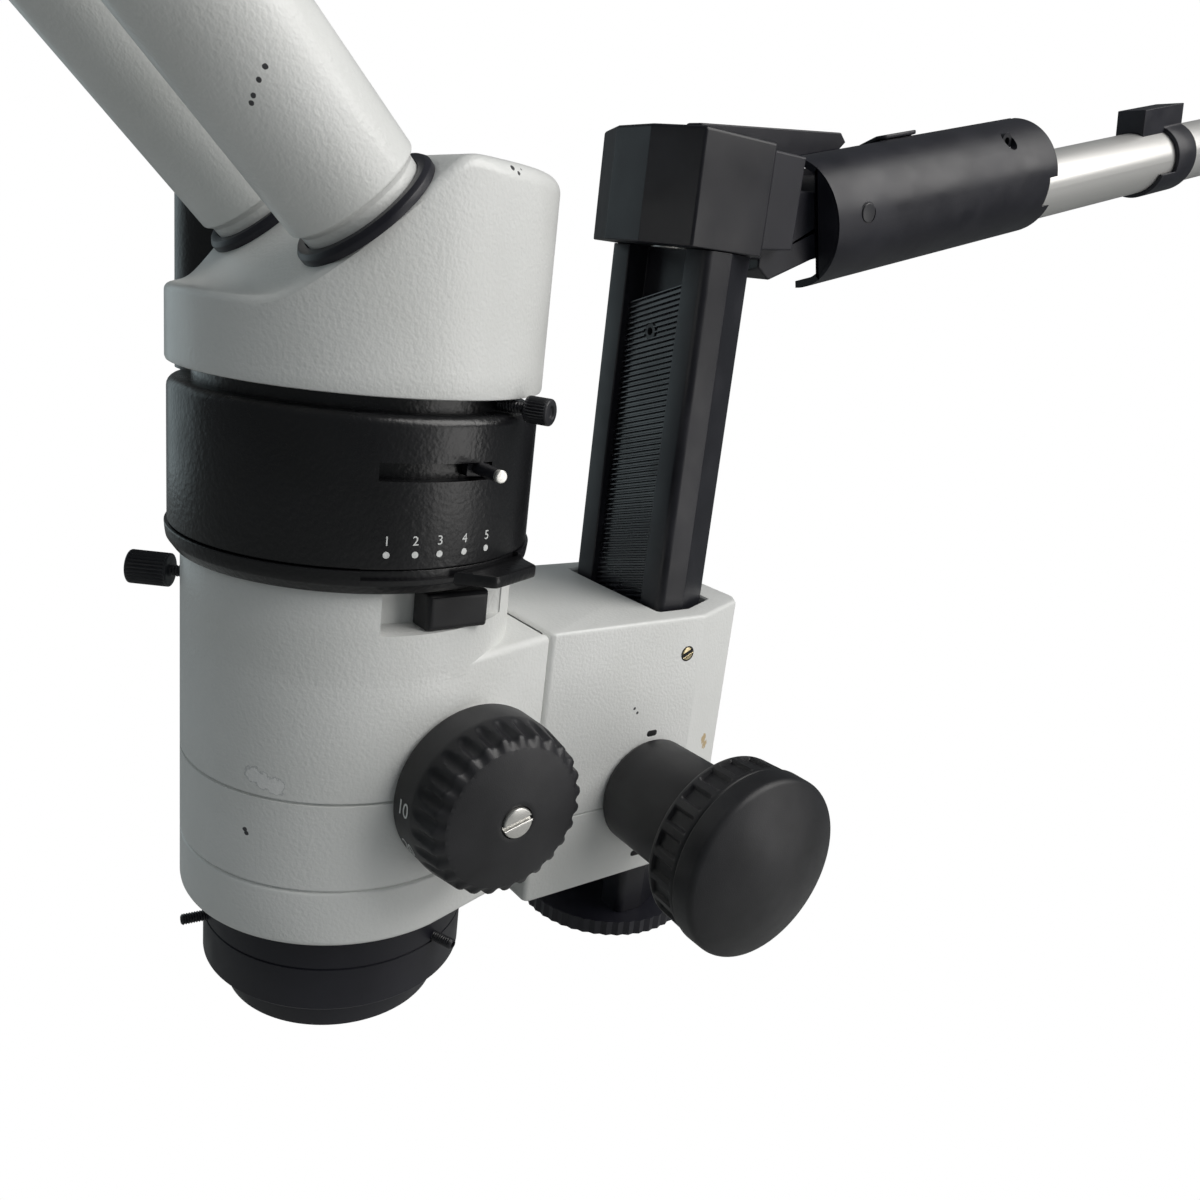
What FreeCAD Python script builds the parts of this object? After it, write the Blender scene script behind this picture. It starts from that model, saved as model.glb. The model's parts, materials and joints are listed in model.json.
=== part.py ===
import FreeCAD, Part
import Sketcher
import math
import os
import re

from FreeCAD import Placement, Rotation, Vector

# A stereo zoom microscope on a tilting boom arm, in millimetres.
# The origin is on the optical axis at the lower face of the objective.
# The user sits at -Y, the user's right is +X and +Z is up.

doc = FreeCAD.newDocument("stereo_microscope")
sheet = doc.addObject("Spreadsheet::Sheet", "Dims")

SIZES = {
    # Optical body
    "body_radius": 43.0,
    "body_wall": 4.0,
    "collar_bottom": 34.0,
    "collar_top": 50.0,
    "body_top": 131.0,
    "groove": 0.5,
    "groove_z": 74.6,
    "groove_depth": 0.8,
    "recess_y": -11.0,
    "recess_width": 38.0,
    "recess_height": 12.0,
    "recess_depth": 8.5,
    "button_y": 1.0,
    "button_width": 17.0,
    "button_height": 9.5,
    "seam_y": 45.8,
    "block_half": 31.5,
    "block_start_y": 9.0,
    "block_top": 109.9,
    "plate_thick": 5.0,
    # Objective
    "ring_radius": 36.8,
    "ring_bottom": 10.1,
    "ring_step": 4.0,
    "ring_groove_z": 22.8,
    "lower_ring_radius": 31.5,
    "lower_ring_tip_radius": 30.2,
    "lens_radius": 27.0,
    "lens_thick": 8.0,
    "lens_lift": 6.0,
    "objective_screw_radius": 1.9,
    "objective_screw_out": 7.5,
    "objective_screw_z": 24.0,
    "objective_screw_angle": 24.0,
    # Intermediate drum with the iris and the beam splitter
    "iris_ring_radius": 47.2,
    "iris_ring_thick": 5.3,
    "drum_radius": 46.1,
    "drum_top": 171.8,
    "drum_wall": 4.5,
    "drum_round": 2.2,
    "run_gap": 0.3,
    "lever_out": 6.5,
    "lever_angle": 23.0,
    "lever_width": 20.0,
    "lever_thick": 3.2,
    "window_width": 29.0,
    "window_height": 4.2,
    "window_z": 157.0,
    "slide_y": 11.0,
    "slide_pin_radius": 1.9,
    "slide_pin_out": 7.9,
    "port_x": 62.5,
    "port_y": 12.6,
    "port_radius": 15.0,
    "port_top": 262.0,
    "port_box_half": 11.5,
    "port_box_height": 28.0,
    # Binocular head
    "head_radius": 46.5,
    "head_bottom": 175.5,
    "neck_ring_step": 6.0,
    "head_top": 228.0,
    "head_round": 4.0,
    "head_ridge_z": 193.3,
    "head_cove_y": 33.6,
    "head_slope_y": 27.0,
    "head_crest_y": 3.8,
    "head_flat_y": 2.5,
    "prism": 16.0,
    "prism_lift": 14.8,
    "barrel_x": 29.5,
    "barrel_angle": 45.0,
    "barrel_z": 199.6,
    "barrel_radius": 16.2,
    "barrel_bore": 12.0,
    "barrel_start": 22.0,
    "barrel_length": 88.0,
    "flange_radius": 17.8,
    "flange_thick": 2.6,
    "flange_bore": 14.1,
    "eye_offset": 4.0,
    "eye_tube_radius": 15.0,
    "eyepiece_radius": 18.5,
    "eyepiece_length": 30.0,
    "dioptre_length": 9.0,
    "eyecup_length": 14.0,
    # Zoom drive
    "zoom_y": 16.8,
    "zoom_z": 75.7,
    "zoom_knob_x": 44.1,
    "zoom_knob_end": 63.5,
    "zoom_knob_radius": 22.6,
    "zoom_rim_radius": 21.5,
    "zoom_shaft_radius": 4.0,
    "zoom_boss_radius": 19.0,
    "zoom_scallops": 27,
    "scallop_radius": 1.9,
    "knob_crown": 2.6,
    "screw_head_radius": 4.2,
    "rod_x": 27.0,
    "rod_radius": 2.5,
    "cell_x": 12.0,
    "cell_y": 4.0,
    "cell_radius": 9.5,
    "cell_height": 12.0,
    "carrier_thick": 5.0,
    "zoom_lens_radius": 7.5,
    "upper_cell_z": 100.0,
    "lower_cell_z": 60.0,
    # Focus housing
    "housing_side_y": 104.4,
    "housing_rear_half": 22.5,
    "housing_rear_y": 125.8,
    "housing_back_y": 128.5,
    "housing_bottom": 23.9,
    "housing_round": 1.2,
    "pinion_room": 8.2,
    "seam_groove": 0.8,
    "slot_gap": 1.6,
    "set_screw_y": 98.7,
    "set_screw_z": 97.8,
    "set_screw_radius": 2.2,
    # Focus drive
    "pinion_y": 88.5,
    "pinion_z": 53.7,
    "pinion_teeth": 24,
    "tooth_pitch": 1.65,
    "tooth_slant": 16.3,
    "tooth_depth": 1.05,
    "pinion_width": 22.0,
    "pinion_shaft_radius": 3.5,
    "hub_radius": 17.1,
    "hub_end_radius": 18.1,
    "grip_x": 65.9,
    "grip_end_x": 77.5,
    "grip_radius": 27.0,
    "grip_recesses": 22,
    "knob_cap_end": 91.4,
    "knob_dome": 6.5,
    # Column
    "column_front_y": 92.4,
    "column_half": 22.6,
    "column_side_y": 102.1,
    "column_back_half": 16.3,
    "column_back_y": 115.4,
    "column_bottom": 1.0,
    "column_top": 216.4,
    "column_axis_y": 103.0,
    "rack_half": 12.9,
    "rack_back_y": 100.0,
    "rack_bottom": 12.0,
    "rack_top": 204.4,
    "rack_screw_z": 191.8,
    "rack_screw_x": -1.5,
    "rack_screw_radius": 2.4,
    "stop_radius": 29.9,
    "stop_thick": 5.0,
    "spindle_radius": 10.0,
    "spindle_top": 242.0,
    "bush_wall": 2.7,
    "bush_length": 20.0,
    # Cap and neck
    "cap_bottom": 217.2,
    "cap_top": 247.9,
    "cap_front_half": 7.9,
    "cap_front_y": 78.8,
    "cap_half": 23.2,
    "cap_shoulder_y": 85.7,
    "cap_side_y": 113.0,
    "cap_point": 12.7,
    "neck_half": 15.7,
    "neck_bottom": 218.8,
    "neck_top": 247.2,
    "neck_block_y": 133.0,
    "neck_eye_half": 9.6,
    "neck_eye_radius": 11.0,
    "brace_thick": 4.6,
    "brace_end_y": 181.0,
    "brace_rise": 7.0,
    # Boom arm
    "tilt_y": 160.1,
    "tilt_z": 234.8,
    "boom_angle": 15.3,
    "shell_radius": 20.2,
    "shell_wall": 2.2,
    "shell_front": 13.5,
    "shell_length": 116.0,
    "left_shell_start": 30.0,
    "shell_split": 1.6,
    "shell_drop": 2.0,
    "notch_x": 3.0,
    "notch_drop": 2.0,
    "notch_width": 10.0,
    "notch_depth": 4.5,
    "tube_radius": 12.2,
    "tube_wall": 2.0,
    "tube_start": 22.0,
    "tube_length": 200.0,
    "tube_end_radius": 11.9,
    "tube_end_length": 40.0,
    "fork_length": 58.0,
    "fork_behind": 10.0,
    "fork_gap": 24.0,
    "pin_radius": 3.3,
    "bolt_radius": 2.8,
    "bolt_along": 80.6,
    "bolt_lift": 12.2,
    "boom_collar_start": 184.0,
    "boom_collar_length": 30.0,
    "boom_collar_radius": 14.0,
    "collar_lug_lift": 13.0,
    "collar_lug_width": 12.0,
    "collar_ring_step": 16.0,
    "collar_lip_step": 6.0,
    # Clamp screws
    "clamp_radius": 4.3,
    "drum_screw_angle": 30.0,
    "drum_screw_z": 173.6,
    "drum_screw_start": 48.5,
    "drum_screw_length": 9.5,
    "side_screw_angle": 234.0,
    "side_screw_z": 117.5,
    "side_screw_start": 48.0,
    "side_screw_length": 11.0,
    "clamp_shank_radius": 1.6,
}

row = 1
for alias, size in SIZES.items():
    sheet.set(f"A{row}", alias)
    sheet.set(f"B{row}", str(size))
    sheet.setAlias(f"B{row}", alias)
    row += 1
doc.recompute()


def size(alias):
    """Return one driving dimension as the sheet holds it."""
    return float(getattr(sheet, alias))


def bound(formula):
    """Write a formula of aliases as an expression of the sheet's cells."""
    return re.sub(r"[a-z][a-z_]*[a-z]",
                  lambda word: "Dims." + word.group() if word.group() in SIZES else word.group(),
                  str(formula))


def value(formula):
    """Work out a formula of aliases as a plain number."""
    return float(sheet.evalExpression(bound(formula)))


TURNS = {
    "X": Rotation(Vector(0, 1, 0), 90),
    "Y": Rotation(Vector(1, 0, 0), -90),
    "Z": Rotation(),
}


def place(thing, x=0, y=0, z=0, turn=None):
    """Give an object its turn and bind its place to the sheet."""
    thing.Placement = Placement(Vector(value(x), value(y), value(z)), turn or Rotation())
    for axis, formula in (("x", x), ("y", y), ("z", z)):
        thing.setExpression(f"Placement.Base.{axis}", bound(formula))
    return thing


def cylinder(radius, length, x=0, y=0, z=0, way="Z"):
    """Round bar that starts at a point and runs along one axis."""
    thing = doc.addObject("Part::Cylinder", "Bar")
    thing.setExpression("Radius", bound(radius))
    thing.setExpression("Height", bound(length))
    return place(thing, x, y, z, TURNS[way])


def cone(radius, end_radius, length, x=0, y=0, z=0, way="Z"):
    """Tapered bar that starts at a point and runs along one axis."""
    thing = doc.addObject("Part::Cone", "Taper")
    thing.Radius1 = value(radius)
    thing.Radius2 = value(end_radius)
    thing.setExpression("Radius1", bound(radius))
    thing.setExpression("Radius2", bound(end_radius))
    thing.setExpression("Height", bound(length))
    return place(thing, x, y, z, TURNS[way])


def box(wide, deep, high, x=0, y=0, z=0):
    """Block given by its sizes and its lowest corner."""
    thing = doc.addObject("Part::Box", "Block")
    thing.setExpression("Length", bound(wide))
    thing.setExpression("Width", bound(deep))
    thing.setExpression("Height", bound(high))
    return place(thing, x, y, z)


def prism(points, length, start=0, plane="XY"):
    """Pad a closed outline whose corners are bound to the sheet.

    The XY plane pads along Z, and the YZ plane pads along X.
    """
    body = doc.addObject("PartDesign::Body", "Prism")
    outline = body.newObject("Sketcher::SketchObject", "Outline")
    role = plane + "_Plane"
    flat = [item for item in body.Origin.OriginFeatures if item.Role == role][0]
    outline.AttachmentSupport = [(flat, "")]
    outline.MapMode = "FlatFace"
    spots = [Vector(value(a), value(b), 0) for a, b in points]
    count = len(spots)
    for i in range(count):
        outline.addGeometry(Part.LineSegment(spots[i], spots[(i + 1) % count]))
    for i in range(count):
        outline.addConstraint(Sketcher.Constraint("Coincident", i, 2, (i + 1) % count, 1))
    for i in range(count):
        for kind, formula, spot in (("DistanceX", points[i][0], spots[i].x),
                                    ("DistanceY", points[i][1], spots[i].y)):
            index = outline.addConstraint(Sketcher.Constraint(kind, -1, 1, i, 1, spot))
            outline.setExpression(f"Constraints[{index}]", bound(formula))
    pad = body.newObject("PartDesign::Pad", "Pad")
    pad.Profile = outline
    pad.setExpression("Length", bound(length))
    if plane == "XY":
        return place(body, 0, 0, start)
    return place(body, start, 0, 0)


def cut(base, *tools):
    """Take tools away from a base, one after another."""
    for tool in tools:
        result = doc.addObject("Part::Cut", "Cut")
        result.Base = base
        result.Tool = tool
        base = result
    return base


def fuse(*shapes):
    """Join shapes into one solid without seams."""
    result = doc.addObject("Part::MultiFuse", "Joined")
    result.Shapes = list(shapes)
    result.Refine = True
    return result


def common(*shapes):
    """Keep what all shapes share."""
    result = doc.addObject("Part::MultiCommon", "Shared")
    result.Shapes = list(shapes)
    return result


def compound(*shapes):
    """Keep separate solids together as one node."""
    result = doc.addObject("Part::Compound", "Set")
    result.Links = list(shapes)
    return result


def mirrored(shape):
    """Mirror an object in the plane between the user's left and right."""
    result = doc.addObject("Part::Mirroring", "Mirror")
    result.Source = shape
    result.Normal = (1, 0, 0)
    return result


def solid(shape):
    """Hold a shape that is worked out from the sheet in code."""
    thing = doc.addObject("Part::Feature", "Formed")
    spot = shape.Placement
    thing.Shape = shape
    thing.Placement = spot
    return thing


def rounded(thing, radius, pick):
    """Fillet the edges of an object that a test on the edge picks."""
    doc.recompute()
    edges = [i + 1 for i, edge in enumerate(thing.Shape.Edges) if pick(edge)]
    result = doc.addObject("Part::Fillet", "Rounded")
    result.Base = thing
    result.Edges = [(i, value(radius), value(radius)) for i in edges]
    return result


def at_height(level):
    """Pick edges that lie flat at one height."""
    high = value(level)
    return lambda edge: abs(edge.BoundBox.ZMin - high) < 0.01 and abs(edge.BoundBox.ZMax - high) < 0.01


def at_side(level, axis="X"):
    """Pick edges that lie in one plane across an axis."""
    far = value(level)
    return lambda edge: (abs(getattr(edge.BoundBox, axis + "Min") - far) < 0.01
                         and abs(getattr(edge.BoundBox, axis + "Max") - far) < 0.01)


def in_frame(thing, spot):
    """Wrap an object so that it can be turned into a tilted frame."""
    result = doc.addObject("Part::Compound", "Turned")
    result.Links = [thing]
    result.Placement = spot
    return result


nodes = {}


def node(name, thing, frame=None):
    """Name a finished piece, with a frame of its own where it is tilted."""
    thing.Label = name
    if frame is not None:
        thing.Placement = frame
    nodes[name] = thing
    return thing


def ring(outer, inner, length, x=0, y=0, z=0, way="Z"):
    """Tube between two radii."""
    return cut(cylinder(outer, length, x, y, z, way), cylinder(inner, length, x, y, z, way))


def rear_block(start, top, back="seam_y", inset="0"):
    """Block behind the round body that narrows to the housing's width."""
    return prism([(f"0 - body_radius + 1.2 + {inset}", "block_start_y"),
                  (f"0 - block_half + {inset}", back),
                  (f"block_half - {inset}", back),
                  (f"body_radius - 1.2 - {inset}", "block_start_y")],
                 f"{top} - {start}", start)


# Boom arm: drawn in a frame whose Z runs up the boom from the tilt pin and whose Y points down
BOOM = Placement(Vector(0, size("tilt_y"), size("tilt_z")),
                 Rotation(Vector(1, 0, 0), size("boom_angle") - 90))
SHELL_BORE = "shell_radius - shell_wall"
TUBE_DROP = "shell_drop + shell_radius - shell_wall - tube_radius"


def cross_bar(radius, along, y):
    """Round bar right across the arm along X."""
    return cylinder(radius, "2*shell_radius + 4", "0 - shell_radius - 2", y, along, "X")


def boom_shell(start, length, side):
    """Half shell of the arm, open towards the other half."""
    skin = ring("shell_radius", SHELL_BORE, length, 0, "shell_drop", start)
    keep_x = "shell_split/2" if side > 0 else "0 - shell_radius - shell_split/2"
    keep = box("shell_radius", "2*shell_radius + 2", length, keep_x, "shell_drop - shell_radius - 1", start)
    half = common(skin, keep)
    notch = box("shell_radius", "notch_width", "notch_depth + 0.5",
                "notch_x" if side > 0 else "0 - shell_radius - notch_x", "notch_drop",
                "shell_length - shell_front - notch_depth")
    half = cut(half, notch, cross_bar("bolt_radius", "bolt_along", "0 - bolt_lift"))
    return cut(half, cross_bar("pin_radius", "0", "0")) if side > 0 else half


TUBE_BORE = "tube_radius - tube_wall"
tube = fuse(cylinder("tube_radius", "tube_length", 0, TUBE_DROP, "tube_start"),
            cylinder("tube_end_radius", "tube_end_length", 0, TUBE_DROP, "tube_start + tube_length"))
tube = cut(tube, cylinder(TUBE_BORE, "tube_length + tube_end_length", 0, TUBE_DROP, "tube_start"))
node("boom_tube", tube, BOOM)
node("arm_shell_right", boom_shell("0 - shell_front", "shell_length", 1), BOOM)
left_half = boom_shell("left_shell_start", "shell_length - shell_front - left_shell_start", -1)
node("arm_shell_left", left_half, BOOM)

collar = fuse(cylinder("boom_collar_radius", "boom_collar_length - collar_ring_step", 0, TUBE_DROP,
                       "boom_collar_start + collar_ring_step"),
              common(cylinder("boom_collar_radius", "boom_collar_length - collar_lip_step", 0, TUBE_DROP,
                              "boom_collar_start + collar_lip_step"),
                     box("2*boom_collar_radius", "boom_collar_radius", "boom_collar_length",
                         "0 - boom_collar_radius", f"{TUBE_DROP} + boom_collar_radius/3",
                         "boom_collar_start")),
              box("collar_lug_width", "collar_lug_lift", "boom_collar_length", "0 - collar_lug_width/2",
                  "0 - collar_lug_lift", "boom_collar_start"))
collar = cut(collar, cylinder("tube_radius", "boom_collar_length", 0, TUBE_DROP, "boom_collar_start"))
node("boom_collar", collar, BOOM)

FORK_BACK = "0 - fork_behind"
fork = common(cylinder(SHELL_BORE, "fork_length", 0, "shell_drop", FORK_BACK),
              box("2*neck_half", "2*shell_radius + 4", "fork_length", "0 - neck_half", "0 - shell_radius",
                  FORK_BACK))
fork = cut(fork,
           box("2*neck_eye_half + 1", "2*shell_radius + 4", "fork_gap", "0 - neck_eye_half - 0.5",
               "0 - shell_radius", f"{FORK_BACK} - 0.5"),
           cross_bar("pin_radius", "0", "0"),
           cylinder("tube_radius", "fork_length + 2", 0, TUBE_DROP, "tube_start"))
node("arm_knuckle", fork, BOOM)

pins = compound(cylinder("pin_radius", "shell_radius + neck_half - 0.3", "0 - neck_half", 0, 0, "X"),
                cut(cylinder("bolt_radius", "2*shell_radius - 14", "0 - shell_radius + 7", "0 - bolt_lift",
                             "bolt_along", "X"),
                    cylinder("1.4", "3", "shell_radius - 10", "0 - bolt_lift", "bolt_along", "X")))
node("arm_pins", pins, BOOM)

# Neck: the knuckle behind the cap, with its eye on the tilt pin and the brace beside it
neck = prism([("cap_side_y - 10", "neck_bottom"),
              ("cap_side_y + 4", "neck_bottom"),
              ("neck_block_y", "neck_bottom + 1.5"),
              ("neck_block_y", "neck_top"),
              ("cap_side_y - 10", "neck_top")],
             "2*neck_half", "0 - neck_half", "YZ")
eye_arm = prism([("cap_side_y", "neck_bottom + 4"),
                 ("neck_block_y - 2", "neck_bottom - 8"),
                 ("tilt_y", "tilt_z - neck_eye_radius"),
                 ("tilt_y", "tilt_z + 5"),
                 ("neck_block_y + 2", "neck_top - 9"),
                 ("neck_block_y - 4", "neck_top - 2"),
                 ("cap_side_y", "neck_top - 2")],
                "2*neck_eye_half", "0 - neck_eye_half", "YZ")
eye = cylinder("neck_eye_radius", "2*neck_eye_half", "0 - neck_eye_half", "tilt_y", "tilt_z", "X")
brace = prism([("cap_side_y - 4", "neck_top - 6"),
               ("neck_block_y", "neck_top - 3"),
               ("brace_end_y", "neck_top + brace_rise + 3"),
               ("brace_end_y + 3", "neck_top + brace_rise + 6"),
               ("brace_end_y", "neck_top + brace_rise + 8.6"),
               ("cap_side_y - 4", "neck_top + brace_rise")],
              "brace_thick", "0 - neck_half - brace_thick", "YZ")
cap_room = prism([("0 - cap_half", "cap_front_y"),
                  ("0 - cap_half", "cap_side_y"),
                  ("0", "cap_side_y + cap_point"),
                  ("cap_half", "cap_side_y"),
                  ("cap_half", "cap_front_y")],
                 "cap_top - cap_bottom + 20", "cap_bottom - 2")
swivel_room = cylinder("column_half + 2", "20", 0, "column_axis_y", "column_top + run_gap - 20")
neck = cut(fuse(neck, eye_arm, eye, brace), cap_room, swivel_room,
           cylinder("pin_radius + 0.1", "4*neck_half", "0 - 2*neck_half", "tilt_y", "tilt_z", "X"))
node("neck_block", neck)

cap = prism([("0 - cap_front_half", "cap_front_y"),
             ("0 - cap_half", "cap_shoulder_y"),
             ("0 - cap_half", "cap_side_y"),
             ("0", "cap_side_y + cap_point"),
             ("cap_half", "cap_side_y"),
             ("cap_half", "cap_shoulder_y"),
             ("cap_front_half", "cap_front_y")],
            "cap_top - cap_bottom", "cap_bottom")
cap = rounded(cap, "1.2", at_height("cap_top"))
cap = cut(cap, cylinder("spindle_radius + bush_wall", "cap_top - cap_bottom - 4", 0, "column_axis_y",
                        "cap_bottom"))
node("column_cap", cap)
node("swivel_bush", ring("spindle_radius + bush_wall", "spindle_radius + 0.1", "bush_length", 0,
                         "column_axis_y", "cap_bottom + 1"))

# Column with its inset rack, spindle and stop disc
COLUMN = [("0 - column_half", "column_front_y"),
          ("0 - column_half", "column_side_y"),
          ("0 - column_back_half", "column_back_y"),
          ("column_back_half", "column_back_y"),
          ("column_half", "column_side_y"),
          ("column_half", "column_front_y")]
column = prism(COLUMN, "column_top - column_bottom", "column_bottom")
column = rounded(column, "3", lambda edge: edge.BoundBox.ZLength > 50
                 and abs(edge.BoundBox.YMin - size("column_front_y")) < 0.01)
column = cut(column,
             box("2*rack_half + 0.4", "rack_back_y - column_front_y + 1", "column_top - column_bottom + 2",
                 "0 - rack_half - 0.2", "column_front_y - 1", "column_bottom - 1"))
node("column", column)


def rack_shape():
    """Rack whose teeth all slant, pushed out of one toothed side view."""
    pitch = size("tooth_pitch")
    tip = size("pinion_y") + pitch_radius()
    crest = tip - 0.35 * size("tooth_depth")
    root = crest + size("tooth_depth")
    lean = math.tan(math.radians(size("tooth_slant")))
    half = size("rack_half")
    middle = size("pinion_z")
    first = math.ceil((size("rack_bottom") - middle) / pitch)
    last = math.floor((size("rack_top") - middle) / pitch)
    points = []
    for i in range(first, last):
        low = middle + i * pitch
        points.append(Vector(-half, root, low + 0.18 * pitch))
        points.append(Vector(-half, crest, low + 0.40 * pitch))
        points.append(Vector(-half, crest, low + 0.60 * pitch))
        points.append(Vector(-half, root, low + 0.82 * pitch))
    points.append(Vector(-half, size("rack_back_y"), points[-1].z))
    points.append(Vector(-half, size("rack_back_y"), points[0].z))
    points = [point - Vector(0, 0, half * lean) for point in points]
    face = Part.Face(Part.makePolygon(points + points[:1]))
    return face.extrude(Vector(2 * half, 0, 2 * half * lean))


def pitch_radius():
    """Radius at which the pinion rolls on the rack."""
    return size("pinion_teeth") * size("tooth_pitch") / (2 * math.pi)


def rack_hole(radius, deep, level):
    """Round bar across the rack that ends at its back face."""
    return cylinder(radius, deep, "rack_screw_x", f"rack_back_y - {deep}", level, "Y")


RACK_LEVELS = ("rack_screw_z", "rack_bottom + 14")
node("rack", cut(solid(rack_shape()), *[rack_hole("rack_screw_radius", "9", level) for level in RACK_LEVELS]))
screws = [cut(rack_hole("rack_screw_radius", "5", level),
              cylinder("rack_screw_radius/2", "2", "rack_screw_x", "rack_back_y - 5", level, "Y"))
          for level in RACK_LEVELS]
node("rack_screws", compound(*screws))
spindle = fuse(cylinder("spindle_radius", "spindle_top - column_top", 0, "column_axis_y", "column_top"),
               cylinder("spindle_radius + 2", "3", 0, "column_axis_y", "cap_bottom + bush_length + 1.3"))
node("column_spindle", spindle)


def stop_shape():
    """Stop disc with a finely knurled rim and a raised inner ring."""
    radius = size("stop_radius")
    thick = size("stop_thick")
    count = 48
    corners = []
    for i in range(2 * count):
        far = radius if i % 2 else radius - 0.6
        turn = math.pi * i / count
        corners.append(Vector(far * math.cos(turn), far * math.sin(turn), 0))
    disc = Part.Face(Part.makePolygon(corners + corners[:1])).extrude(Vector(0, 0, thick))
    disc = disc.cut(Part.makeCylinder(radius - 6, 1.2, Vector(0, 0, -0.2)))
    disc.translate(Vector(0, size("column_axis_y"), size("column_bottom") - thick))
    return disc


node("stop_disc", solid(stop_shape()))

# Focus housing: a tapered box with a hexagonal well for the column
HOUSING = [("0 - block_half", "seam_y + 0.4"),
           ("0 - block_half", "housing_side_y"),
           ("0 - housing_rear_half", "housing_rear_y"),
           ("0 - housing_rear_half + 4", "housing_back_y"),
           ("housing_rear_half - 4", "housing_back_y"),
           ("housing_rear_half", "housing_rear_y"),
           ("block_half", "housing_side_y"),
           ("block_half", "seam_y + 0.4")]
housing = prism(HOUSING, "block_top - housing_bottom", "housing_bottom")
housing = rounded(housing, "housing_round",
                  lambda edge: at_height("block_top")(edge) or at_height("housing_bottom")(edge))
WELL = [("0 - column_half - slot_gap", "column_front_y - slot_gap"),
        ("0 - column_half - slot_gap", "column_side_y + slot_gap/2"),
        ("0 - column_back_half - slot_gap", "column_back_y + slot_gap"),
        ("column_back_half + slot_gap", "column_back_y + slot_gap"),
        ("column_half + slot_gap", "column_side_y + slot_gap/2"),
        ("column_half + slot_gap", "column_front_y - slot_gap")]
well = prism(WELL, "block_top - housing_bottom + 2", "housing_bottom - 1")
housing = cut(housing, well,
              cylinder("pinion_room", "pinion_width + 3", "0 - pinion_width/2 - 1.5", "pinion_y", "pinion_z",
                       "X"),
              cylinder("pinion_shaft_radius + 0.15", "2*block_half + 2", "0 - block_half - 1", "pinion_y",
                       "pinion_z", "X"),
              box("2*block_half + 2", "seam_groove", "seam_groove", "0 - block_half - 1", "seam_y + 0.4",
                  "collar_top"))
for side in ("block_half - 4.2", "0 - block_half - 1"):
    housing = cut(housing, cylinder("set_screw_radius", "5.2", side, "set_screw_y", "set_screw_z", "X"))
node("focus_housing", housing)


def guide_screw(start, slot):
    """Slotted screw in one side of the housing."""
    return cut(cylinder("set_screw_radius", "3.4", start, "set_screw_y", "set_screw_z", "X"),
               box("0.8", "3", "0.8", slot, "set_screw_y - 1.5", "set_screw_z - 0.4"))


node("guide_screws", compound(guide_screw("block_half - 4.2", "block_half - 1.6"),
                              guide_screw("0 - block_half + 0.8", "0 - block_half + 0.8")))


def guide_pad(side, level):
    """Slide strip between the well's side and the column."""
    start = "column_half + run_gap" if side > 0 else "0 - column_half - slot_gap"
    return box("slot_gap - run_gap", "7", "14", start, "column_front_y + 1.5", level)


node("guide_pads", compound(*[guide_pad(side, level) for side in (1, -1)
                              for level in ("housing_bottom + 3", "block_top - 24")]))


def pinion_shape():
    """Helical pinion on its shaft, in mesh with the slanting rack."""
    count = int(size("pinion_teeth"))
    width = size("pinion_width")
    rolling = pitch_radius()
    depth = size("tooth_depth")
    outer = rolling + 0.25 * depth
    inner = rolling - 0.65 * depth
    lean = math.tan(math.radians(size("tooth_slant")))
    step = 2 * math.pi / count
    rings = []
    stations = 6
    for k in range(stations + 1):
        along = -width / 2 + width * k / stations
        twist = along * lean / rolling
        corners = []
        for i in range(count):
            for share, far in ((-0.26, inner), (-0.10, outer), (0.10, outer), (0.26, inner)):
                angle = twist + (i + share) * step
                corners.append(Vector(along, far * math.cos(angle), far * math.sin(angle)))
        rings.append(corners)
    faces = [Part.Face(Part.makePolygon(corners + corners[:1])) for corners in (rings[0], rings[-1])]
    for low, high in zip(rings, rings[1:]):
        for i in range(len(low)):
            j = (i + 1) % len(low)
            near = Part.makeLine(low[i], low[j])
            far = Part.makeLine(high[i], high[j])
            faces.append(Part.makeRuledSurface(near, far))
    gear = Part.makeSolid(Part.makeShell(faces))
    gear.translate(Vector(0, size("pinion_y"), size("pinion_z")))
    return gear


shaft = cylinder("pinion_shaft_radius", "2*grip_x", "0 - grip_x", "pinion_y", "pinion_z", "X")
node("pinion_shaft", fuse(solid(pinion_shape()), shaft))


def grip_shape():
    """Knurled ring of a focus knob, with rounded recesses round its rim."""
    near = size("grip_x")
    far = size("grip_end_x")
    centre = Vector(near, size("pinion_y"), size("pinion_z"))
    axis = Vector(1, 0, 0)
    ring_body = Part.makeCone(size("grip_radius") - 0.6, size("grip_radius"), far - near, centre, axis)
    count = int(size("grip_recesses"))
    for i in range(count):
        corner = Vector(near + 2.2, centre.y - 1.9, centre.z + size("grip_radius") - 1.1)
        slot = Part.makeBox(far - near - 4.4, 3.8, 3, corner)
        slot.rotate(centre, axis, 360 * i / count)
        ring_body = ring_body.cut(slot)
    core = Part.makeCylinder(size("pinion_shaft_radius"), far - near + 2, centre - axis, axis)
    return ring_body.cut(core)


def dome_shape():
    """Domed cap of a focus knob: a disc with a ball-shaped face and rounded rims."""
    near = size("grip_end_x") + 0.2
    far = size("knob_cap_end")
    radius = size("grip_radius") + 0.5
    dome = size("knob_dome")
    ball = (radius ** 2 + dome ** 2) / (2 * dome)
    axis = Vector(1, 0, 0)
    disc = Part.makeCylinder(radius, far - near, Vector(near, 0, 0), axis)
    disc = disc.common(Part.makeSphere(ball, Vector(far - ball, 0, 0)))
    rims = [edge for edge in disc.Edges if edge.BoundBox.XLength < 0.01 and edge.BoundBox.YLength > radius]
    disc = disc.makeFillet(1.6, rims)
    disc.translate(Vector(0, size("pinion_y"), size("pinion_z")))
    return disc


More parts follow.
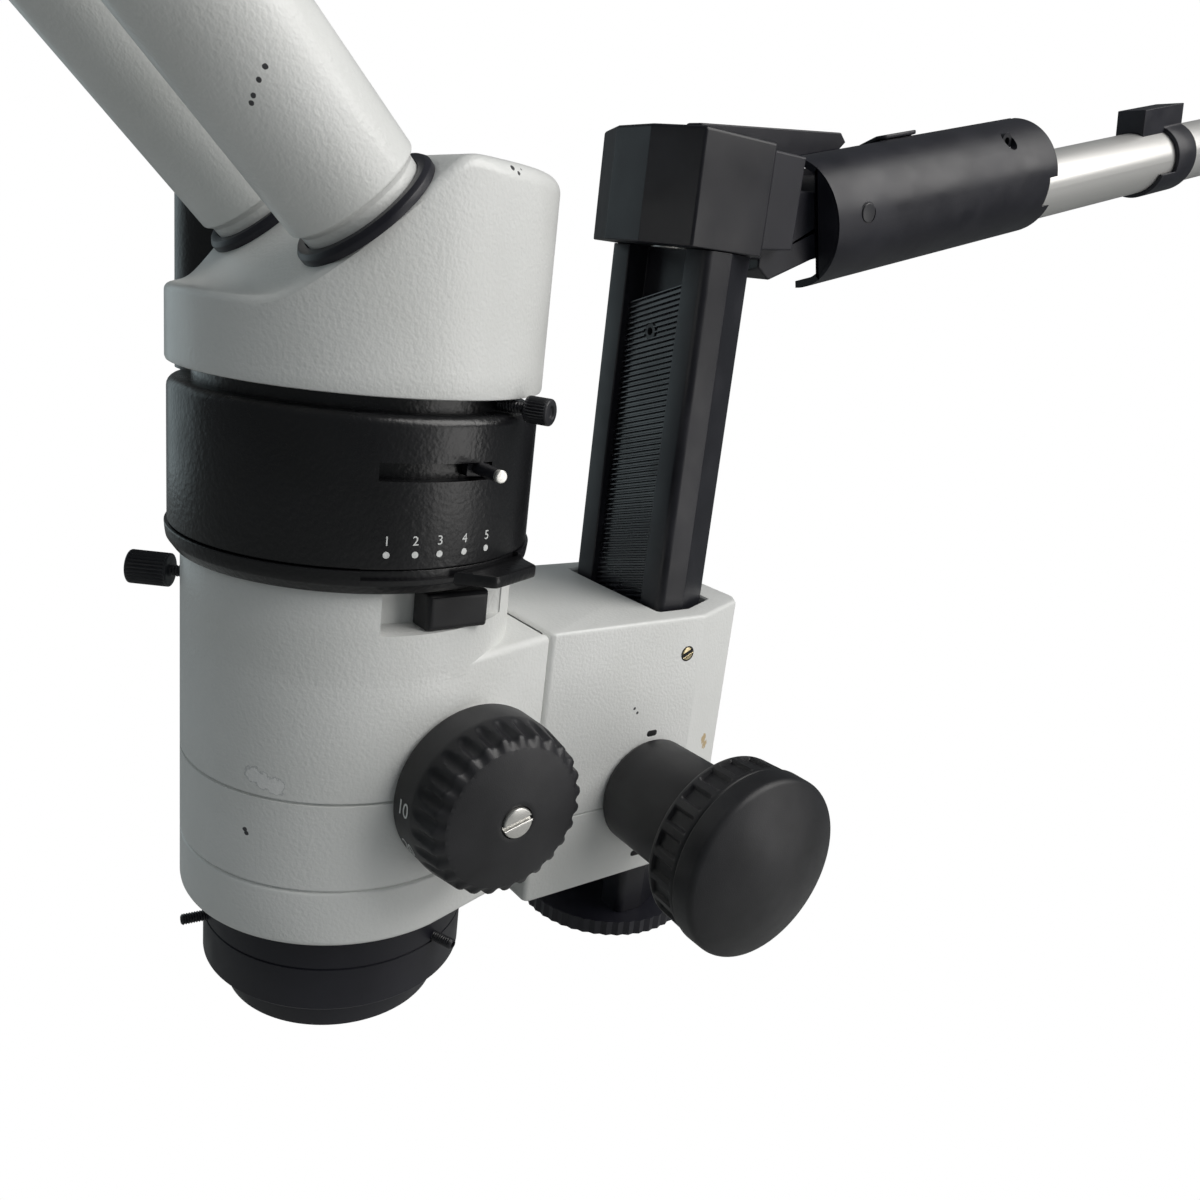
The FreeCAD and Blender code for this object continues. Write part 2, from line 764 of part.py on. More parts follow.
hub = cut(cone("hub_radius", "hub_end_radius", "grip_x - block_half - run_gap - 0.2", "block_half + run_gap",
               "pinion_y", "pinion_z", "X"),
          cylinder("pinion_shaft_radius", "60", "block_half", "pinion_y", "pinion_z", "X"))
grip = solid(grip_shape())
dome = solid(dome_shape())
node("focus_hub_right", hub)
node("focus_hub_left", mirrored(hub))
node("focus_grip_right", grip)
node("focus_grip_left", mirrored(grip))
node("focus_cap_right", dome)
node("focus_cap_left", mirrored(dome))

# Optical body: zoom housing and the white collar under it


def radial(angle, radius, near, far, level):
    """Bar that points away from the optical axis at one angle."""
    bar = doc.addObject("Part::Cylinder", "Bar")
    bar.setExpression("Radius", bound(radius))
    bar.setExpression("Height", bound(f"({far}) - ({near})"))
    around = math.radians(value(angle))
    spot = Vector(value(near) * math.cos(around), value(near) * math.sin(around), value(level))
    bar.Placement = Placement(spot, Rotation(Vector(0, 0, 1), value(angle)) * TURNS["X"])
    return bar


def parting_line(radius, level):
    """Fine square groove that runs once round a cylinder."""
    return ring(f"{radius} + 1", f"{radius} - groove_depth", "groove", 0, 0, level)


def cell_bores(length, level):
    """Two light paths, one for each eye."""
    return [cylinder("cell_radius", length, x, "0 - cell_y", level) for x in ("cell_x", "0 - cell_x")]


tower = fuse(cylinder("body_radius", "body_top - collar_top", 0, 0, "collar_top"),
             rear_block("collar_top", "block_top"),
             cylinder("zoom_boss_radius", "2*zoom_knob_x - 1.6", "0 - zoom_knob_x + 0.8", "zoom_y", "zoom_z",
                      "X"))
inside = cut(cylinder("body_radius - body_wall", "body_top - collar_top", 0, 0, "collar_top + plate_thick"),
             box("recess_depth + 12", "recess_width + 6", "recess_height + 7",
                 "body_radius - recess_depth - 4", "recess_y - 3", "body_top - recess_height - 3"))
tower = cut(tower, inside,
            cylinder("zoom_shaft_radius + 0.1", "2*zoom_knob_x", "0 - zoom_knob_x", "zoom_y", "zoom_z", "X"),
            parting_line("body_radius", "groove_z"),
            parting_line("body_radius", "collar_top"),
            box("recess_depth + 12", "recess_width", "recess_height + 1", "body_radius - recess_depth",
                "recess_y", "body_top - recess_height"),
            radial("side_screw_angle", "clamp_shank_radius + 0.1", "body_radius - 8", "body_radius + 1",
                   "side_screw_z"),
            *cell_bores("20", "collar_top - 1"))
node("zoom_housing", tower)
button = box("recess_depth - 0.5", "button_width", "button_height", "body_radius - recess_depth", "button_y",
             "body_top - recess_height")
node("recess_block", rounded(button, "1.6", at_side("body_radius - 0.5")))

collar_ring = fuse(cylinder("body_radius", "collar_top - collar_bottom", 0, 0, "collar_bottom"),
                   rear_block("collar_bottom", "collar_top"))
collar_ring = cut(collar_ring, cylinder("ring_radius - ring_step + 0.05", "collar_top - collar_bottom", 0, 0,
                                        "collar_bottom"))
node("objective_collar", rounded(collar_ring, "1.4", at_height("collar_bottom")))

# Objective: stepped ring, lens and clamp screws
holder = fuse(cylinder("ring_radius", "collar_bottom - ring_bottom - 0.05", 0, 0, "ring_bottom"),
              cylinder("ring_radius - ring_step", "8", 0, 0, "collar_bottom - 0.05"),
              cone("lower_ring_tip_radius", "lower_ring_radius", "ring_bottom", 0, 0, 0))
holder = cut(holder,
             cylinder("lens_radius + 0.05", "collar_bottom + 8", 0, 0, "lens_lift"),
             cylinder("lens_radius - 2", "lens_lift + 1", 0, 0, "0 - 0.5"),
             parting_line("ring_radius", "ring_groove_z"))
SCREW_ANGLES = ["objective_screw_angle + " + turn for turn in ("0", "120", "240")]
SCREW_FOOT = "ring_radius - 6"
for angle in SCREW_ANGLES:
    holder = cut(holder, radial(angle, "objective_screw_radius", SCREW_FOOT, "ring_radius + 1",
                                "objective_screw_z"))
node("objective_ring", holder)
node("objective_screws", compound(*[radial(angle, "objective_screw_radius", f"{SCREW_FOOT} + 1",
                                           "ring_radius + objective_screw_out", "objective_screw_z")
                                    for angle in SCREW_ANGLES]))
node("objective_lens", common(cylinder("lens_radius", "lens_thick", 0, 0, "lens_lift + 0.05"),
                              solid(Part.makeSphere(90, Vector(0, 0, value("lens_lift") + 90)))))

# Zoom drive inside the tower
ROD_PLACES = ("rod_x", "0 - rod_x")
CELL_PLACES = ("cell_x", "0 - cell_x")
rods = [cylinder("rod_radius", "body_top - collar_top - plate_thick - 3", x, "0 - cell_y",
                 "collar_top + plate_thick") for x in ROD_PLACES]
node("zoom_rods", compound(*rods))


def carrier(level):
    """Plate with two lens cells that slides on the rods."""
    plate = box("2*rod_x + 10", "2*cell_radius", "carrier_thick", "0 - rod_x - 5", "0 - cell_y - cell_radius",
                level)
    cells = [cylinder("cell_radius", "cell_height", x, "0 - cell_y", level) for x in CELL_PLACES]
    bores = [cylinder("zoom_lens_radius", "cell_height + 2", x, "0 - cell_y", f"{level} - 1")
             for x in CELL_PLACES]
    guides = [cylinder("rod_radius + 0.15", "cell_height", x, "0 - cell_y", f"{level} - 1")
              for x in ROD_PLACES]
    return cut(fuse(plate, *cells), *bores, *guides)


def cell_lenses(level):
    """Two lenses seated in a carrier."""
    return compound(*[cylinder("zoom_lens_radius", "4", x, "0 - cell_y", f"{level} + 4")
                      for x in CELL_PLACES])


node("lens_carrier_upper", carrier("upper_cell_z"))
node("lens_carrier_lower", carrier("lower_cell_z"))
node("zoom_lenses_upper", cell_lenses("upper_cell_z"))
node("zoom_lenses_lower", cell_lenses("lower_cell_z"))


def zoom_knob_shape():
    """Zoom knob: smooth skirt, scalloped rim and a gently domed face."""
    near = size("zoom_knob_x")
    far = size("zoom_knob_end")
    rim = size("zoom_rim_radius")
    skirt = (far - near) * 0.42
    middle = Vector(near, 0, 0)
    body = Part.makeCone(size("zoom_knob_radius"), rim + 0.5, skirt, middle, Vector(1, 0, 0))
    outline = [Vector(near + skirt, 0, 0), Vector(near + skirt, rim, 0), Vector(far - 1.2, rim, 0),
               Vector(far, rim - 1.2, 0)]
    edges = [Part.makeLine(outline[i], outline[i + 1]) for i in range(3)]
    tip = Vector(far + size("knob_crown"), 0, 0)
    edges.append(Part.Arc(outline[3], Vector(far + 0.75 * size("knob_crown"), rim / 2, 0), tip).toShape())
    edges.append(Part.makeLine(tip, outline[0]))
    crown = Part.Face(Part.Wire(edges)).revolve(Vector(0, 0, 0), Vector(1, 0, 0), 360)
    count = int(size("zoom_scallops"))
    for i in range(count):
        turn = 2 * math.pi * i / count
        far_out = rim + 0.45 * size("scallop_radius")
        start = Vector(near + skirt + 1.2, far_out * math.cos(turn), far_out * math.sin(turn))
        crown = crown.cut(Part.makeCylinder(size("scallop_radius"), far - near, start, Vector(1, 0, 0)))
    body = body.fuse(crown)
    axis = Vector(1, 0, 0)
    body = body.cut(Part.makeCylinder(size("zoom_shaft_radius"), 14, middle - axis, axis))
    head = Part.makeCylinder(size("screw_head_radius"), 6, Vector(far + 0.4, 0, 0), axis)
    body = body.cut(head).removeSplitter()
    body.translate(Vector(0, size("zoom_y"), size("zoom_z")))
    return body


def knob_screw_shape():
    """Slotted screw in the middle of a zoom knob."""
    face = size("zoom_knob_end")
    head = Part.makeCylinder(size("screw_head_radius"), size("knob_crown") - 0.4, Vector(face + 0.4, 0, 0),
                             Vector(1, 0, 0))
    slot = Part.makeBox(1, 12, 1.0, Vector(face + size("knob_crown") - 0.8, -6, -0.5))
    head = head.cut(slot)
    head.translate(Vector(0, size("zoom_y"), size("zoom_z")))
    return head


knob = solid(zoom_knob_shape())
screw = solid(knob_screw_shape())
node("zoom_knob_right", knob)
node("zoom_knob_left", mirrored(knob))
node("zoom_knob_screws", compound(screw, mirrored(screw)))
node("zoom_shaft", cylinder("zoom_shaft_radius", "2*zoom_knob_x + 26", "0 - zoom_knob_x - 13", "zoom_y",
                            "zoom_z", "X"))

# Drum: lever ring, shell with its window and the left port
iris = cut(cylinder("iris_ring_radius", "iris_ring_thick - 0.6", 0, 0, "body_top + run_gap"),
           cylinder("body_radius + run_gap", "iris_ring_thick", 0, 0, "body_top"))
lever = box("lever_out + 6", "lever_width", "lever_thick", "iris_ring_radius - 4", "0 - lever_width/2",
            "body_top + run_gap + 0.8")
lever = in_frame(lever, Placement(Vector(), Rotation(Vector(0, 0, 1), size("lever_angle"))))
node("iris_ring", fuse(iris, lever))

DRUM_BOTTOM = "body_top + iris_ring_thick"
drum = fuse(cylinder("drum_radius", f"drum_top - ({DRUM_BOTTOM})", 0, 0, DRUM_BOTTOM),
            cylinder("body_radius", "iris_ring_thick", 0, 0, "body_top"),
            box("port_x - 30 + port_box_half", "2*port_box_half", "port_box_height",
                "0 - port_x - port_box_half", "0 - port_y - port_box_half", f"{DRUM_BOTTOM} + 3"))
drum = rounded(drum, "drum_round", at_height("drum_top"))
drum = cut(drum,
           cylinder("drum_radius - drum_wall", f"drum_top - ({DRUM_BOTTOM}) - 8", 0, 0, f"{DRUM_BOTTOM} + 4"),
           box("20", "window_width", "window_height", "drum_radius - 9", "0 - window_width/2", "window_z"),
           *cell_bores("80", "body_top - 1"))
node("drum_housing", drum)
node("iris_blades", ring("drum_radius - drum_wall - 0.2", "cell_radius + cell_x - 2", "1.2", 0, 0,
                         f"{DRUM_BOTTOM} + 4"))
slide = fuse(box("26", "6", "3", "drum_radius - drum_wall - 24", "slide_y - 3", "window_z + 0.6"),
             box("50", "12", "3", "0 - 25", "slide_y - 6", "window_z + 0.6"),
             cylinder("slide_pin_radius", "drum_wall + 6 + slide_pin_out", "drum_radius - drum_wall - 6",
                      "slide_y", "window_z + window_height/2", "X"))
node("splitter_slide", slide)
node("splitter_prism", box("44", "12", "7", "0 - 22", "slide_y - 6", "window_z - 6.4"))


def knurled(length, radius, teeth=18):
    """Knurled screw head that starts at the origin and points along Z."""
    corners = []
    for i in range(2 * teeth):
        far = radius if i % 2 else radius - 0.45
        corners.append(Vector(far * math.cos(math.pi * i / teeth), far * math.sin(math.pi * i / teeth), 0))
    return Part.Face(Part.makePolygon(corners + corners[:1])).extrude(Vector(0, 0, length))


def clamp_screw(word, shank_foot):
    """Knurled clamp screw that points away from the optical axis, with its shank reaching inwards."""
    around = math.radians(size(word + "_angle"))
    away = Vector(math.cos(around), math.sin(around), 0)
    near = size(word + "_start")
    shank = near - value(shank_foot)
    body = knurled(size(word + "_length"), size("clamp_radius"))
    body = body.fuse(Part.makeCylinder(size("clamp_shank_radius"), shank + 1, Vector(0, 0, -shank)))
    start = away * near + Vector(0, 0, size(word + "_z"))
    body.Placement = Placement(start, Rotation(Vector(0, 0, 1), away))
    return solid(body)


node("drum_screw", clamp_screw("drum_screw", "head_radius - neck_ring_step - 5"))
node("side_screw", clamp_screw("side_screw", "body_radius - body_wall"))

# Camera port on the left of the drum
PORT_FOOT = "body_top + iris_ring_thick + 3 + port_box_height"
node("phototube", cut(cylinder("port_radius", f"port_top - ({PORT_FOOT})", "0 - port_x", "0 - port_y",
                               PORT_FOOT),
                      cylinder("port_radius - 2", "port_top", "0 - port_x", "0 - port_y",
                               f"{PORT_FOOT} + 2")))
node("phototube_cap", cut(cylinder("port_radius + 1.5", "10", "0 - port_x", "0 - port_y", "port_top - 8"),
                          cylinder("port_radius", "8", "0 - port_x", "0 - port_y", "port_top - 8")))

# Binocular head: a round tower cut by a stepped front with a hollow cove
BARREL_FOOT = "(barrel_start - flange_thick)"


def slope_level(depth):
    """Height of the slanted face, square to the barrels, at one depth."""
    return (f"barrel_z + {BARREL_FOOT}*sin(barrel_angle)"
            f" + ({depth} + {BARREL_FOOT}*cos(barrel_angle))/tan(barrel_angle)")


profile = prism([("0 - head_radius - 1", "head_bottom"),
                 ("0 - head_radius - 1", "head_ridge_z"),
                 ("0 - head_cove_y - 5.6", "head_ridge_z + 0.3"),
                 ("0 - head_cove_y", "head_ridge_z + 2"),
                 ("0 - head_cove_y + 4.4", "head_ridge_z + 4.9"),
                 ("0 - head_slope_y", slope_level("0 - head_slope_y")),
                 ("0 - head_crest_y", slope_level("0 - head_crest_y")),
                 ("head_flat_y", "head_top"),
                 ("head_radius + 1", "head_top"),
                 ("head_radius + 1", "head_bottom")],
                "2*head_radius + 2", "0 - head_radius - 1", "YZ")
round_tower = cylinder("head_radius", "head_top - head_bottom", 0, 0, "head_bottom")
round_tower = rounded(round_tower, "head_round", at_height("head_top"))
head = common(profile, round_tower)
head = fuse(head, cylinder("head_radius - neck_ring_step", "head_bottom - drum_top", 0, 0, "drum_top"))
head = cut(head, *cell_bores("20", "drum_top - 1"),
           radial("drum_screw_angle", "clamp_shank_radius + 0.1", "head_radius - neck_ring_step - 6",
                  "head_radius", "drum_screw_z"))


def prism_block(middle, room):
    """Cube for one prism, or its room with some play."""
    return box(f"prism + 2*{room}", f"prism + 2*{room}", f"prism + {room}", f"{middle} - prism/2 - {room}",
               f"0 - cell_y - prism/2 - {room}", "head_bottom + prism_lift")


head = cut(head, *[prism_block(middle, "0.2") for middle in ("cell_x", "0 - cell_x")])


def barrel_frame(side):
    """Frame at the foot of a barrel, with Z up the barrel's axis."""
    return Placement(Vector(side * size("barrel_x"), 0, size("barrel_z")),
                     Rotation(Vector(1, 0, 0), 90 - size("barrel_angle")))


def eye_frame(side):
    """Frame of an eyepiece tube, beside the barrel's own axis."""
    offset = Vector(side * size("eye_offset"), -size("eye_offset"), 0)
    return barrel_frame(side) * Placement(offset, Rotation())


for side in (1, -1):
    seat = in_frame(cylinder("flange_bore", "barrel_start", 0, 0, "barrel_start - 9"), barrel_frame(side))
    head = cut(head, seat)
node("head_housing", head)
node("head_prisms", compound(*[prism_block(middle, "0") for middle in ("cell_x", "0 - cell_x")]))

for side, word in ((1, "right"), (-1, "left")):
    flange = ring("flange_radius", "flange_bore", "flange_thick", 0, 0, BARREL_FOOT)
    node(f"barrel_flange_{word}", flange, barrel_frame(side))
    barrel = fuse(cylinder("barrel_radius - 1", "4", 0, 0, "barrel_start + 0.2"),
                  cylinder("barrel_radius - 2.4", "9", 0, 0, "barrel_start - 6"),
                  cylinder("barrel_radius", "barrel_length - 3", 0, 0, "barrel_start + 3.4"),
                  cylinder("barrel_radius + 6", "16", f"{side}*eye_offset", "0 - eye_offset",
                           "barrel_start + barrel_length"))
    barrel = cut(barrel,
                 cylinder("eye_tube_radius", "18", f"{side}*eye_offset", "0 - eye_offset",
                          "barrel_start + barrel_length + 4"),
                 cylinder("barrel_bore", "barrel_length + 20", 0, 0, "barrel_start - 7"))
    node(f"barrel_{word}", barrel, barrel_frame(side))
    base = "barrel_start + barrel_length + 4"
    eyepiece = fuse(cylinder("eye_tube_radius - 0.05", "13", 0, 0, base),
                    cylinder("eyepiece_radius", "eyepiece_length", 0, 0, f"{base} + 12.2"))
    eyepiece = cut(eyepiece, cylinder("eye_tube_radius - 3", "11", 0, 0, base))
    node(f"eyepiece_{word}", eyepiece, eye_frame(side))
    level = f"{base} + 12.5 + eyepiece_length"
    dioptre = ring("eyepiece_radius + 1", "eyepiece_radius - 5", "dioptre_length", 0, 0, level)
    node(f"dioptre_ring_{word}", dioptre, eye_frame(side))
    level = f"{level} + dioptre_length"
    cup = cut(cone("eyepiece_radius - 1", "eyepiece_radius + 2", "eyecup_length", 0, 0, level),
              cone("eyepiece_radius - 6", "eyepiece_radius", "eyecup_length", 0, 0, level))
    node(f"eyecup_{word}", cup, eye_frame(side))

doc.recompute()
for thing in doc.Objects:
    if "Invalid" in thing.State or "Error" in thing.State:
        raise RuntimeError(f"{thing.Name} ({thing.Label}) did not build: {thing.State}")
for name, thing in nodes.items():
    if thing.Shape.isNull() or not thing.Shape.isValid():
        raise RuntimeError(f"{name} has no valid shape")

os.makedirs("parts", exist_ok=True)
for name, thing in nodes.items():
    thing.Shape.exportStep(os.path.join("parts", name + ".step"))
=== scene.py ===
import json
import math

import bpy
import numpy as np
from mathutils import Matrix, Vector


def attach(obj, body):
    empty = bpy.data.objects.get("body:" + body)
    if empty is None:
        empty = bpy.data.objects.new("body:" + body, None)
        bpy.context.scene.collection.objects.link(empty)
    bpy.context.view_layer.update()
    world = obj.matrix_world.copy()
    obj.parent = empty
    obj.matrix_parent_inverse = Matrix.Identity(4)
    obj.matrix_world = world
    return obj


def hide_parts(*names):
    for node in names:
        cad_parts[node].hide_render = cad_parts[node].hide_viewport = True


# A stereo zoom microscope on its boom arm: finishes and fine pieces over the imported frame.
# The scene is in metres, sizes of pieces are in millimetres. The optical axis is Z, the user is at -Y.

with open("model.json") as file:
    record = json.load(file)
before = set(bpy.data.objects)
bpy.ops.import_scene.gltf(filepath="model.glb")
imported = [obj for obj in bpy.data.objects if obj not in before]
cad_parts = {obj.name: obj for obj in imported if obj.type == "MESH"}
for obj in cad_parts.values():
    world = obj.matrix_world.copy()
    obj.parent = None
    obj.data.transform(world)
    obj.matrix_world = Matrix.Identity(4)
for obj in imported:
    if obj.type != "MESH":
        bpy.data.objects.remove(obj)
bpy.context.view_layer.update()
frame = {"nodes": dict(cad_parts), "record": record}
nodes = frame["nodes"]
MM = 0.001
NOISE_LOW, NOISE_HIGH = 0.3, 0.7  # the part of its range that a noise mostly fills
BOOM_LEAN = 15.3  # degrees by which the boom rises towards its far end


# Materials
def new_material(name):
    """Empty material with its shader and its node tree."""
    material = bpy.data.materials.new(name)
    material.use_nodes = True
    tree = material.node_tree
    return material, tree.nodes["Principled BSDF"], tree


def fill(tree, node, inputs):
    """Fill inputs of a node, each from a socket or with a plain value."""
    for key, source in inputs.items():
        if isinstance(source, bpy.types.NodeSocket):
            tree.links.new(source, node.inputs[key])
        else:
            node.inputs[key].default_value = source
    return node


def add(tree, kind, inputs=None, **settings):
    """Add a shader node of a kind, with its plain settings and its inputs."""
    made = tree.nodes.new("ShaderNode" + kind)
    for key, setting in settings.items():
        setattr(made, key, setting)
    return fill(tree, made, inputs or {})


def place(tree):
    """Object coordinates, in metres on the object itself."""
    return add(tree, "TexCoord").outputs["Object"]


def noise(tree, scale, detail=2.0, rough=0.5, where=None):
    """Noise value on object coordinates, with its scale in lumps per metre."""
    inputs = {"Vector": where or place(tree), "Scale": scale, "Detail": detail, "Roughness": rough}
    return add(tree, "TexNoise", inputs).outputs["Fac"]


def stretch(tree, value, low, high, to_low=0.0, to_high=1.0):
    """Map one range of a value to another, held at its ends."""
    inputs = {"Value": value, "From Min": low, "From Max": high, "To Min": to_low, "To Max": to_high}
    return add(tree, "MapRange", inputs).outputs["Result"]


def uneven(tree, scale, low, high):
    """Value that wanders between two levels."""
    return stretch(tree, noise(tree, scale, detail=3.0), NOISE_LOW, NOISE_HIGH, low, high)


def shade(colour, factor):
    """A colour made darker or lighter by a factor."""
    return tuple(channel * factor for channel in colour)


def mix(tree, factor, *colours):
    """Blend two colours, each a socket or a colour, by a factor."""
    first, second = [colour + (1.0,) if isinstance(colour, tuple) else colour for colour in colours]
    made = add(tree, "Mix", {"Factor": factor, "A": first, "B": second}, data_type="RGBA")
    return made.outputs["Result"]


def bump(tree, scale, strength, distance):
    """Bump from a fine noise, its distance in metres."""
    height = noise(tree, scale, detail=1.0)
    made = add(tree, "Bump", {"Height": height, "Strength": strength, "Distance": distance})
    return made.outputs["Normal"]


def enamel(name, colour, dirt, rough, peel, peel_scale, coat):
    """Sprayed enamel: orange peel, faint dirt and a clear gloss."""
    material, shader, tree = new_material(name)
    cloud = stretch(tree, noise(tree, 28.0, detail=4.0), 0.42, 0.72)
    fill(tree, shader, {
        "Base Color": mix(tree, cloud, colour, dirt), "Normal": bump(tree, peel_scale, peel, 0.4 * MM),
        "Roughness": uneven(tree, 60.0, rough - 0.05, rough + 0.08),
        "Coat Weight": coat, "Coat Roughness": 0.18})
    return material


def anodised(name, colour, worn, rough, shine=0.4):
    """Black anodised or blasted metal, rubbed a little lighter in places."""
    material, shader, tree = new_material(name)
    rub = stretch(tree, noise(tree, 45.0, detail=5.0), 0.45, 0.75)
    fill(tree, shader, {
        "Base Color": mix(tree, rub, colour, worn), "Normal": bump(tree, 2600.0, 0.12, 0.1 * MM),
        "Roughness": uneven(tree, 90.0, rough - 0.06, rough + 0.08), "Specular IOR Level": shine})
    return material


def moulded(name, colour, rough, grain=0.25):
    """Moulded plastic with a fine spark-eroded grain."""
    material, shader, tree = new_material(name)
    haze = stretch(tree, noise(tree, 38.0, detail=4.0), 0.4, 0.75)
    lighter = tuple(channel * 1.7 + 0.01 for channel in colour)
    fill(tree, shader, {
        "Base Color": mix(tree, haze, colour, lighter), "Normal": bump(tree, 3200.0, grain, 0.1 * MM),
        "Roughness": uneven(tree, 70.0, rough - 0.07, rough + 0.07)})
    return material


def bare_metal(name, colour, rough, streak_axis="Z", streak=0.08, lean=0.0, metal=1.0, contrast=0.28):
    """Ground or turned metal with fine streaks along one axis, which may lean about X by some degrees."""
    material, shader, tree = new_material(name)
    long_streak, fine_streak = 60 * MM, 0.6 * MM
    scales = [long_streak if axis == streak_axis else fine_streak for axis in "XYZ"]
    turn = (math.radians(lean), 0.0, 0.0)
    mapping = add(tree, "Mapping", {"Vector": place(tree), "Scale": scales, "Rotation": turn},
                  vector_type="TEXTURE")
    lines = noise(tree, 1.0, detail=3.0, rough=0.6, where=mapping.outputs["Vector"])
    fill(tree, shader, {
        "Base Color": mix(tree, lines, colour, shade(colour, 1 - contrast)), "Metallic": metal,
        "Roughness": stretch(tree, lines, NOISE_LOW, NOISE_HIGH, rough - streak, rough + streak)})
    return material


def glass(name, tint, rough=0.02):
    """Coated optical glass."""
    material, shader, tree = new_material(name)
    veil = stretch(tree, noise(tree, 55.0), 0.4, 0.8)
    fill(tree, shader, {"Base Color": mix(tree, veil, tint, shade(tint, 0.9)), "Roughness": rough,
                        "Transmission Weight": 0.85, "IOR": 1.52})
    return material


def print_and_painted_shade(name, colour, rough):
    """Flat colour, slightly uneven: printed ink, and also the painted shade of slots and screw seats."""
    material, shader, tree = new_material(name)
    thin = stretch(tree, noise(tree, 1500.0, detail=3.0), 0.35, 0.8)
    fill(tree, shader, {"Base Color": mix(tree, thin, colour, shade(colour, 0.8)), "Roughness": rough})
    return material


def spots(tree, places, size, rough=0.6):
    """Value that is 1 inside ragged spots round places (x, y, z) in millimetres, and 0 elsewhere."""
    radius, ragged = size * MM, rough * size * MM
    wander = add(tree, "TexNoise", {"Vector": place(tree), "Scale": 900.0}).outputs["Color"]
    shift = add(tree, "VectorMath", {0: wander, "Scale": ragged}, operation="SCALE")
    shifted = add(tree, "VectorMath", {0: place(tree), 1: shift.outputs["Vector"]}, operation="ADD")
    total = None
    for spot in places:
        middle = Vector(spot) * MM + Vector((0.5, 0.5, 0.5)) * ragged
        away = add(tree, "VectorMath", {0: shifted.outputs["Vector"], 1: middle},
                   operation="DISTANCE")
        near = stretch(tree, away.outputs["Value"], radius, radius * 0.85)
        if total is None:
            total = near
        else:
            total = add(tree, "Math", {0: total, 1: near}, operation="MAXIMUM").outputs["Value"]
    return total


def marked(material, places, size, colour, rough=0.6):
    """Lay ragged spots over what a material already has."""
    tree = material.node_tree
    shader = tree.nodes["Principled BSDF"]
    before = shader.inputs["Base Color"].links[0].from_socket
    fill(tree, shader, {"Base Color": mix(tree, spots(tree, places, size, rough), before, colour)})
    return material


def white(name):
    """The white enamel of every painted piece."""
    return enamel(name, (0.80, 0.805, 0.79), (0.75, 0.755, 0.735), rough=0.36, peel=0.30, peel_scale=1050.0,
                  coat=0.2)


# One finish for each material slot. Blender adds a dot and a number to a name that is already taken.
FINISHES = {material.name.split(".")[0]: material for material in (
    white("white_enamel"),
    enamel("black_enamel", (0.006, 0.006, 0.007), (0.011, 0.011, 0.013), rough=0.30, peel=0.30,
           peel_scale=800.0, coat=0.12),
    anodised("black_anodised", (0.012, 0.012, 0.018), (0.021, 0.021, 0.029), rough=0.40),
    moulded("black_plastic", (0.010, 0.010, 0.012), rough=0.46),
    moulded("rubber", (0.012, 0.012, 0.012), rough=0.62, grain=0.4),
    bare_metal("steel", (0.62, 0.61, 0.59), rough=0.28, streak_axis="X"),
    anodised("black_steel", (0.02, 0.02, 0.024), (0.05, 0.05, 0.055), rough=0.33),
    bare_metal("chrome", (0.78, 0.77, 0.74), rough=0.22, streak_axis="X", streak=0.04, metal=0.75),
    bare_metal("brass", (0.74, 0.62, 0.38), rough=0.26, metal=0.7),
    glass("glass", (0.86, 0.92, 0.93)),
    moulded("pad", (0.75, 0.73, 0.68), rough=0.5))}

# Finishes of single pieces: the boom tube, the column, its rack, printed marks, and painted shade for dark
# hollows
TUBE_STEEL = bare_metal("tube_steel", (0.76, 0.75, 0.73), rough=0.32, streak_axis="Y", streak=0.02,
                        lean=BOOM_LEAN, metal=0.6, contrast=0.05)
COLUMN_BLACK = anodised("column_black", (0.011, 0.011, 0.015), (0.022, 0.022, 0.028), rough=0.36)
RACK_BLACK = anodised("rack_black", (0.016, 0.016, 0.021), (0.035, 0.035, 0.042), rough=0.24, shine=0.9)
PRINT = print_and_painted_shade("print", (0.78, 0.79, 0.78), rough=0.5)
# Painted shade: a flat near-black laid on slots and screw seats, where they fall into shade
PAINTED_SHADE = print_and_painted_shade("slot_dark", (0.008, 0.008, 0.009), rough=0.7)

# White pieces with their chips and peeled patches, with places and radii in millimetres
CHIP = (0.05, 0.05, 0.055)
PEEL_RIM, PEEL_FLOOR, PRIMER = (0.42, 0.43, 0.44), (0.86, 0.86, 0.85), (0.55, 0.42, 0.24)
TOWER_CHIPS = [(23.7, -35.9, 64.9), (24.1, -35.6, 64.0)]
TOWER_PEELED = [(25.4, -34.7, 80.6), (27.6, -33.0, 79.4), (30.0, -30.8, 78.7)]
HEAD_CHIPS = [(43.6, 13.4, 226.4), (43.9, 15.2, 225.6), (42.9, 16.4, 226.8)]
BARREL_CHIPS = [(45.0, -42.4, 235.6), (44.3, -43.3, 233.2), (42.8, -43.7, 230.6), (42.3, -43.9, 229.2)]
BOX_CHIPS = [(31.5, 80.1, 82.2), (31.5, 81.4, 80.6)]
BOX_PEELED = [(27.0, 118.5, 61.0), (27.5, 117.0, 63.7)]
TOWER_WHITE = marked(white("tower_white"), TOWER_CHIPS, 0.7, CHIP)
marked(TOWER_WHITE, TOWER_PEELED, 2.5, PEEL_RIM, rough=1.0)
marked(TOWER_WHITE, TOWER_PEELED, 2.3, PEEL_FLOOR, rough=1.0)
HEAD_WHITE = marked(white("head_white"), HEAD_CHIPS, 0.7, CHIP)
BARREL_WHITE = marked(white("barrel_white"), BARREL_CHIPS, 0.6, CHIP)
BOX_WHITE = marked(white("box_white"), BOX_CHIPS, 0.5, CHIP)
marked(BOX_WHITE, BOX_PEELED, 2.2, PRIMER, rough=1.0)

slots = {part["node"]: part["material_slot"] for part in frame["record"]["subparts"]}
OWN_FINISH = {"boom_tube": TUBE_STEEL, "rack": RACK_BLACK}
for name, node in nodes.items():
    node.data.materials.clear()
    node.data.materials.append(OWN_FINISH.get(name, FINISHES[slots[name]]))


